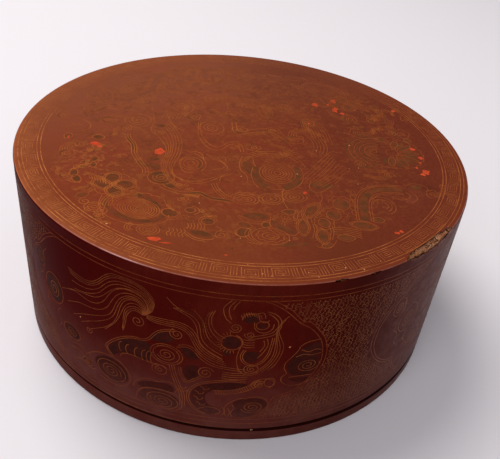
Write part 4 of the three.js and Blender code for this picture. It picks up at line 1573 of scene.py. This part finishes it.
def front_flower(sheet):
    """Flower and leaves in front, with lobed rings."""
    sheet.fill(
        [(2.4, -69.6), (5.6, -67.6), (9.6, -67.2), (13, -68.4), (11.4, -70.8), (7.4, -71.4), (4, -71)],
        [(15.4, -71), (18.4, -73.2), (22, -74.4), (24.6, -77), (24.4, -79), (21, -78.6), (17.4, -76.6),
         (15.4, -73.8)],
        [(17.6, -88.6), (20.6, -86.6), (25.6, -85.4), (31.4, -84.8), (29.6, -86.6), (24.6, -88.2),
         (20, -89)],
    )
    sheet.line(
        [(2, -65), (4, -66.6), (8, -66.2), (12.4, -66.6), (14.4, -69), (13.6, -71.6), (10, -73.4),
         (5.6, -73), (2.4, -71.2), (0.4, -70)],
        [(0.2, -71), (3, -74), (7, -75.2), (11, -74.6)],
        [(14.4, -70.4), (14.2, -74.6), (16.6, -78.2), (20.4, -80.2), (25, -80.4), (26.4, -78)],
        [(13.2, -76), (15.6, -79.6), (19.6, -81.6)],
    )
    rays(sheet, 20.6, -70.6, 0.6, 3.4, 0, 330, 12)
    scallops(sheet, 20.6, -70, 4.6, 3.8, 7, -30, 200, 0.9)
    for x, y, across, up, tilt, count in (
        (28.6, -73.8, 1.6, 4.6, 0, 2), (32.6, -60.6, 1.7, 4.8, -28, 3), (37, -79, 1.7, 4, 5, 2),
        (38, -69, 1.9, 2.4, 10, 1), (3.4, -77, 2.4, 1.5, -15, 1), (3.2, -81.8, 2.2, 2.6, -35, 1),
        (12.6, -75.2, 1.2, 1.3, 0, 1), (55.6, -68, 4.6, 2, -3, 2), (47, -78.4, 3, 1.7, 6, 1),
        (22.8, -63.4, 2.8, 1.2, 8, 1), (38.6, -85.2, 1.8, 1, 25, 1), (46.6, -53, 3.2, 3.6, 0, 1),
        (42.6, -62.4, 2.6, 2.8, 0, 1), (62.4, -62.6, 2.2, 1.4, 10, 1),
    ):
        leaf(sheet, x, y, across, up, tilt, count, 1)
    sheet.rings(14.6, -82.8, (1.7, 0.9), (3.6, 2.2), (8, 5.6))
    scallops(sheet, 14.6, -82.8, 5.4, 3.5, 9, 0, 360, 0.8)
    for reach in (9.4, 10.8):
        sheet.line(ellipse(14.6, -82.8, reach, reach * 0.66, 0, 130, 250, 8))
    sheet.line([(5, -88.6), (9, -89.2), (11.6, -88.4)], [(-0.4, -81), (0, -84), (3, -85.6), (5.4, -84)])
    for x in (25.6, 27.2, 31.4, 33.2):
        sheet.line([(x, -62 - (x - 25) * 0.3), (x - 1, -66), (x - 0.6, -70)])
    for x in (32.8, 34, 40, 41.2):
        sheet.line([(x, -70.6), (x + 0.6, -75), (x - 0.3, -81)])
    scallops(sheet, 38, -69, 4, 4.4, 6, 0, 360, 0.9)
    scallops(sheet, 42.6, -62.4, 5.4, 5, 5, -10, 190, 1)
    scallops(sheet, 46.8, -53, 5.6, 5.8, 5, -20, 180, 1)
    for step in range(5):
        height = -72 - step * 1.3
        sheet.line([(42, height), (46, height + 0.8), (50.6, height + 0.5), (54, height - 0.4)])
    sheet.line(spiral(25, -83, 1.3, 1.3, 0), [(34, -86.6), (37.6, -87.2), (41, -85), (42.6, -81)])


def cloud_band(sheet):
    """Cloud band at the right."""
    band = [(77.4, -35), (70.4, -35.6), (64.4, -37.6), (60.2, -41.2), (57.8, -46), (56.8, -52), (56.6, -58),
            (56.6, -64)]
    sheet.stripe(band, 3.4)
    for distance in (-2.7, -3.8, 2.7, 3.9):
        sheet.line(beside(band, distance))
    for across in (2.6, 4.4, 6.2):
        sheet.line(ellipse(66, -50.4, across, across * 1.15, 0, -60, 175, 10))
    for step in range(5):
        y = -42 - step * 4.2
        x = 53 - step * 0.6 if step < 3 else 51.6 + (step - 3) * 0.6
        sheet.line(ellipse(x, y, 1.1, 1.9, 8))
    sheet.line([(79, -36.6), (80.6, -40), (77, -43.6), (71.4, -43)], [(82, -36), (84, -41), (80, -46)])
    sheet.disc(84.6, -31, 3.4, 1.8, 20)
    sheet.line([(79.6, -30.6), (84, -27.8), (89.6, -29.4), (90.6, -33.4)])


def great_flower(sheet):
    """The ringed flower at the right of the top, with the rosette outside it."""
    sheet.ring(68, 1, 1.3, 1.5)
    for reach in (3, 5.8, 8.6, 11.4, 14.2):
        sheet.line(ellipse(68.6, 0, reach, reach * 1.08, 0, 62 + reach, 292 - reach, 16))
        sheet.stripe(ellipse(68.6, 0, reach + 1.4, (reach + 1.4) * 1.08, 0, 72 + reach, 282 - reach, 16), 1)
    rosette(sheet)


def rosette(sheet):
    for step in range(12):
        angle = -116 + step * 17.5
        way = math.radians(angle)
        reach = 9.4 if step % 2 else 10.6
        leaf(sheet, 77.6 + reach * math.cos(way), 1.6 + reach * math.sin(way),
             4.3, 1.1, angle, step % 2, 0.8)
    scallops(sheet, 77.6, 1.6, 15.8, 15.8, 11, -118, 82, 1)
    sheet.ring(77.6, 1.6, 3.4, 3.4)


def field_clouds(sheet):
    for place in FIELD_CLOUDS:
        cloud(sheet, *place)


def top_ornament():
    laid("top_rings", drawn_lines(rings(), FRAME_WIDTH), on_top(), "gold_line", RIM_GOLD)
    laid("top_fret", drawn_lines(fret(), TOP_LINE_WIDTH), on_top(), "gold_line", RIM_GOLD)
    figures = [
        ("top_roundel", roundel, 0),
        ("top_scroll_near", scrolls, 0),
        ("top_scroll_far", scrolls, math.pi),
        ("top_flower_right", great_flower, 0),
        ("top_flower_left", rosette, math.radians(161)),
        ("top_clouds", field_clouds, 0),
    ]
    for number, (name, draw, turn) in enumerate(figures):
        sheet = Sheet()
        draw(sheet)
        lay = on_top(turn)
        laid(f"{name}_lines", drawn_lines(sheet.lines, TOP_LINE_WIDTH), lay, "gold_line", TOP_GOLD)
        if sheet.fine:
            laid(f"{name}_hair", drawn_lines(sheet.fine, TOP_FINE_WIDTH), lay, "gold_line", TOP_GOLD)
        # Each figure has its own height, so no two fills lie in one plane
        height = FILL_LIFT + FILL_RISE * number / len(figures)
        laid(f"{name}_fills", drawn_fills(sheet.fills, height), lay, "dark_fill", TOP_DARK)


# Places where the top coat has rubbed through to bright red, and specks: place and half widths
RED_SPOTS = [
    (-32.6, -92.8, 3.4, 1.4), (-27, -94.6, 3, 0.45), (-41.4, -22.4, 2.9, 3.8), (-73, -22, 2.8, 1.8),
    (-71, -24, 1.6, 0.9), (30.2, -46.6, 1.3, 1.2), (70, -71, 1.7, 0.9), (72, -69.6, 1.1, 1),
    (92.6, -15.4, 2.3, 2.8), (90.6, -18, 1.4, 1.3), (88.6, -12, 0.7, 1), (92.4, -1.2, 1.5, 1.9),
    (91, -6.4, 0.8, 1.2), (89.6, 7.6, 1.6, 1.7), (50, 46, 2, 3.2), (49.6, 57.6, 1.6, 2.8),
    (38.2, 50, 2, 2.6), (85, 53, 1.2, 1.6), (54, 42, 1.6, 1.5), (46, 52, 0.9, 1.2),
    (-87.6, -17.6, 0.6, 1.6), (-3, -98.4, 0.8, 0.4), (34, 25, 0.7, 1),
]
PALE_SPECKS = [
    (2.1, -86.3, 0.3), (57.8, -18.2, 0.4), (53, -19.8, 0.3), (26.7, -30.4, 0.4), (37, -5.2, 0.3),
    (-17.3, -64, 0.35), (55, 4.5, 0.4), (56, -33.8, 0.3), (-53.3, -86, 0.5), (-60, 33, 0.7),
    (14.2, -54.8, 0.3), (45, -98.6, 0.4), (52.6, -98.4, 0.45), (12, -107.6, 0.35), (15.6, -108.4, 0.3),
    (20, -107, 0.35), (9.4, -108.6, 0.25), (-0.2, -38, 0.4), (22.6, -84.4, 0.25), (30, -104, 0.3),
    (34, -106, 0.25), (6, -103, 0.25), (60, -92, 0.3),
]
DARK_SPECKS = [(74.5, -50, 0.9), (-0.8, -93.6, 0.7), (-31.4, -84.6, 0.6), (84.6, -66, 0.5),
               (16.4, -59, 0.5)]
PALE_SIDE_SPECKS = [(27.5, -34.5, 0.5), (-68.5, -46, 0.4)]
DARK_SIDE_SPECKS = [(17.7, -6, 1.4, 0.8)]
BLOT_POINTS = 11
WEAR_SEED = 11


def blot(chance, x, y, across, up=None):
    """An uneven outline, which is round where it has one half width."""
    up = across if up is None else up
    found = []
    for step in range(BLOT_POINTS):
        angle = math.tau * step / BLOT_POINTS
        reach = chance.uniform(0.62, 1.12)
        found.append((x + across * reach * math.cos(angle), y + up * reach * math.sin(angle)))
    return found


def wear():
    """Spots and specks, all drawn with one chance, so their order matters."""
    chance = random.Random(WEAR_SEED)
    for name, spots, lift, lay, slot, material in (
        ("worn_red_spots", RED_SPOTS, SPECK_LIFT, on_top(), "warm_lacquer", VERMILION),
        ("pale_specks", PALE_SPECKS, SPECK_LIFT, on_top(), "ash_ground", PALE),
        ("dark_specks", DARK_SPECKS, SPECK_LIFT, on_top(), "dark_fill", TOP_DARK),
        ("pale_side_specks", PALE_SIDE_SPECKS, FILL_LIFT, on_side(0), "ash_ground", PALE),
        ("dark_side_speck", DARK_SIDE_SPECKS, FILL_LIFT, on_side(0), "dark_fill", SIDE_DARK),
    ):
        sheet = Sheet()
        sheet.fill(*[blot(chance, *spot) for spot in spots])
        laid(name, drawn_fills(sheet.fills, lift), lay, slot, material)


# Broken places in the rim: start and end in degrees round from the front to the right, reach in from
# the side and down from the top, and a seed
BREAKS = [
    (38.5, 57.6, 4.3, 2.5, 3), (20.4, 24.1, 1.1, 1.4, 5), (28.5, 31.9, 0.9, 1.4, 6),
    (-163, -161.4, 1, 1, 8), (60.5, 61.6, 0.5, 0.7, 9),
]
BREAK_STEP = 0.45
BREAK_ROUGHNESS = 0.75
GROUND_STEP = 0.15
GROUND_COLUMNS = 21
GROUND_DEPTH = 0.4
FIBRES_PER_DEGREE = 6
BROKEN_SHARP = math.radians(60)
FIBRE_WIDTH = 0.24
FLAKE_ANGLE = math.radians(8.3)
FLAKE_SIZE = (1.5, 0.5, 0.45)


def turned(angle, radius, height):
    return Vector((radius * math.sin(angle), -radius * math.cos(angle), height))


def ragged_rows(chance, start, end, reach, drop):
    """The angle, the reach and the drop of a broken place at even steps."""
    steps = max(round((end - start) / BREAK_STEP), 6)
    rows = []
    for step in range(steps + 1):
        swell = max(math.sin(math.pi * step / steps), 0.001) ** 0.4
        angle = math.radians(start + (end - start) * step / steps)
        far_in = reach * swell * chance.uniform(0.74, 1.08)
        far_down = drop * swell * chance.uniform(0.72, 1.08)
        rows.append((angle, far_in, far_down))
    return rows


def cutter(rows):
    """A block that follows the rows round the rim and reaches out of the box, to cut with."""
    block = bmesh.new()
    frames = []
    for angle, reach, drop in rows:
        inside, outside = DRAWN_RADIUS - reach, DRAWN_RADIUS + 1.5
        corners = [(inside, TOP + 1), (outside, TOP + 1), (outside, TOP - drop), (inside, TOP - drop)]
        frames.append([block.verts.new(turned(angle, *corner) * MM) for corner in corners])
    for first, second in zip(frames, frames[1:]):
        for index in range(4):
            other = (index + 1) % 4
            block.faces.new((first[index], first[other], second[other], second[index]))
    block.faces.new(frames[0])
    block.faces.new(frames[-1])
    bmesh.ops.recalc_face_normals(block, faces=block.faces)
    return added("cutter", built(block))


def cut(piece, tool):
    cutting = piece.modifiers.new("cut", "BOOLEAN")
    cutting.solver = "EXACT"
    cutting.object = tool
    mesh = bpy.data.meshes.new_from_object(piece.evaluated_get(bpy.context.evaluated_depsgraph_get()))
    piece.modifiers.clear()
    piece.data = mesh
    mesh.shade_smooth()
    mesh.set_sharp_from_angle(angle=SHARP)
    bpy.data.objects.remove(tool)


def broken_ground(chance, start, end, reach, drop):
    """The rough surface inside a broken place, as rows of points down its slope at even angles."""
    under = OUTER_COAT + SKIN_DROP + 0.06
    slope = [
        (DRAWN_RADIUS - max(reach, 2) - 0.7, TOP - under),
        (DRAWN_RADIUS - max(reach * 0.6, under + 1.1), TOP - under - 0.05),
        (DRAWN_RADIUS - under - 0.9, TOP - under - 0.25),
        (DRAWN_RADIUS - under - 0.2, TOP - under - 0.7),
        (DRAWN_RADIUS - under, TOP - max(drop, 1.2) - 0.6),
    ]
    columns = spaced(slope, GROUND_COLUMNS)
    count = max(round((end - start) / GROUND_STEP), 8)
    seed = Vector([chance.uniform(0, 50) for axis in range(3)])
    grid = []
    for step in range(count + 1):
        share = step / count
        angle = math.radians(start - 0.3 + (end - start + 0.6) * share)
        row = []
        for index, (radius, height) in enumerate(columns):
            part = index / (len(columns) - 1)
            envelope = (math.sin(math.pi * share) * math.sin(math.pi * part)) ** 0.5 if 0 < part < 1 else 0
            place = Vector((step * 0.24, radius * 1.3, height * 1.3)) + seed
            crack = max(1 - 6 * abs(noise.noise(place * 0.8)), 0)
            rise = noise.noise(place) * 0.7 + noise.noise(place * 3.1) * 0.5 - crack * 0.9
            rise *= envelope * BREAK_ROUGHNESS
            row.append(turned(angle, radius + rise * 0.5, height + rise * 0.86))
        grid.append(row)
    return grid


def ground_plate(grid):
    """The rough surface as a closed plate, whose back is sunk inwards and down."""
    ground = bmesh.new()
    rows = [[ground.verts.new(point * MM) for point in row] for row in grid]
    for first, second in zip(rows, rows[1:]):
        for index in range(len(first) - 1):
            ground.faces.new((first[index], second[index], second[index + 1], first[index + 1]))
    bmesh.ops.recalc_face_normals(ground, faces=ground.faces)
    if sum(face.normal.z for face in ground.faces) < 0:
        bmesh.ops.reverse_faces(ground, faces=ground.faces)
    under = bmesh.ops.extrude_face_region(ground, geom=ground.faces[:])["geom"]
    for corner in under:
        if isinstance(corner, bmesh.types.BMVert):
            inward = Vector((-corner.co.x, -corner.co.y, 0)).normalized()
            corner.co += (inward - Vector((0, 0, 1))) * GROUND_DEPTH * MM
    bmesh.ops.recalc_face_normals(ground, faces=ground.faces)
    return built(ground)


def torn_fibres(chance, grid, count):
    """Short threads of the cloth that lie on the rough surface."""
    fibres = []
    for index in range(count):
        row = chance.randrange(2, len(grid) - 3)
        first = chance.randrange(1, 11)
        lean = chance.choice((-2, -1, 0, 0, 1, 2))
        route = []
        for step in range(chance.randrange(3, 7)):
            at = min(max(row + lean * step, 0), len(grid) - 1)
            place = grid[at][min(first + step, GROUND_COLUMNS - 1)]
            route.append(place + Vector((0, 0, chance.uniform(0.02, 0.2))))
        fibres.append((route, False))
    threads = bars(fibres, FIBRE_WIDTH)
    threads.transform(Matrix.Scale(MM, 4))
    return threads


def rim_breaks(skin):
    """Cuts the broken places out of the top coat and fills them with cloth and ash."""
    for number, (start, end, reach, drop, seed) in enumerate(BREAKS, 1):
        name = f"rim_break_{number}"
        chance = random.Random(seed)
        cut(skin, cutter(ragged_rows(chance, start, end, reach, drop)))
        grid = broken_ground(chance, start, end, reach, drop)
        placed(name, ground_plate(grid), "lid", "ash_ground", BROKEN, BROKEN_SHARP)
        threads = torn_fibres(chance, grid, int((end - start) * FIBRES_PER_DEGREE))
        placed(f"{name}_fibres", threads, "lid", "ash_ground", STRAW)


def band_crumb():
    """A pale flake on the upper edge of the base band."""
    flake = bmesh.new()
    bmesh.ops.create_icosphere(flake, subdivisions=3, radius=1)
    for corner in flake.verts:
        corner.co *= 0.9 + 0.25 * noise.noise(corner.co * 2.3)
        corner.co *= Vector(FLAKE_SIZE)
    place = turned(FLAKE_ANGLE, DRAWN_RADIUS - 0.62, BAND_TOP - 0.55)
    turn = Matrix.Rotation(FLAKE_ANGLE, 4, "Z")
    flake.transform(Matrix.Scale(MM, 4) @ Matrix.Translation(place) @ turn)
    placed("band_flake", built(flake), "base", "ash_ground", STRAW)


def studio():
    finish = Finish("pale floor")
    weave = finish.noise(2.5, 3, 0.6)
    finish.set(Base_Color=FLOOR_COLOUR, Roughness=0.9, Normal=finish.bump(weave, 0.2, 0.2))
    ground = bmesh.new()
    bmesh.ops.create_grid(ground, x_segments=1, y_segments=1, size=FLOOR_HALF)
    stand = added("floor", built(ground))
    stand.data.materials.append(finish.material)

    world = bpy.data.worlds.new("studio")
    world.use_nodes = True
    bpy.context.scene.world = world
    backdrop = world.node_tree.nodes["Background"]
    backdrop.inputs["Color"].default_value = colour(238, 236, 240)
    backdrop.inputs["Strength"].default_value = WORLD_STRENGTH

    for name, place, size, power, tint in LAMPS:
        lamp = bpy.data.lights.new(name, "AREA")
        lamp.shape = "DISK"
        lamp.size = size
        lamp.energy = power
        lamp.color = tint
        holder = added(name, lamp)
        holder.location = place
        holder.rotation_euler = (-Vector(place)).to_track_quat("-Z", "Y").to_euler()


def camera():
    lens = bpy.data.cameras.new("camera")
    lens.sensor_width = SENSOR_WIDTH
    lens.lens = LENS
    lens.clip_start = 0.01
    holder = added("camera", lens)
    turn = Matrix.Rotation(-CAMERA_HEADING, 4, "Z") @ Matrix.Rotation(math.pi / 2 - CAMERA_DIP, 4, "X")
    turn = turn @ Matrix.Rotation(CAMERA_ROLL, 4, "Z")
    holder.matrix_world = Matrix.Translation(CAMERA_PLACE) @ turn
    bpy.context.scene.camera = holder


# The studio, in metres, and the camera that the photograph was taken from
FLOOR_HALF = 3
FLOOR_COLOUR = colour(232, 228, 232)
WORLD_STRENGTH = 0.35
LAMPS = [
    ("window", (-0.7, 0.55, 1.7), 1.2, 26.5, (1, 0.97, 0.94)),
    ("front fill", (-0.4, -1.2, 1.4), 1.4, 11.5, (0.96, 0.97, 1)),
]
SENSOR_WIDTH = 36
LENS = 45.86
CAMERA_PLACE = (0, -0.2962, 0.2558)
CAMERA_HEADING = 0.0269
CAMERA_DIP = 0.6327
CAMERA_ROLL = 0.1204

bpy.context.scene.view_settings.view_transform = "Standard"
slots = {part["node"]: part["material_slot"] for part in frame["record"]["subparts"]}
for name, node in frame["nodes"].items():
    if slots[name] in NODE_FINISHES:
        node.data.materials.clear()
        node.data.materials.append(NODE_FINISHES[slots[name]])

rim_breaks(lid_top())
band_crumb()
lid_side()
lid_lining()
base_band()
base_lining()
side_ornament()
top_ornament()
wear()
studio()
camera()
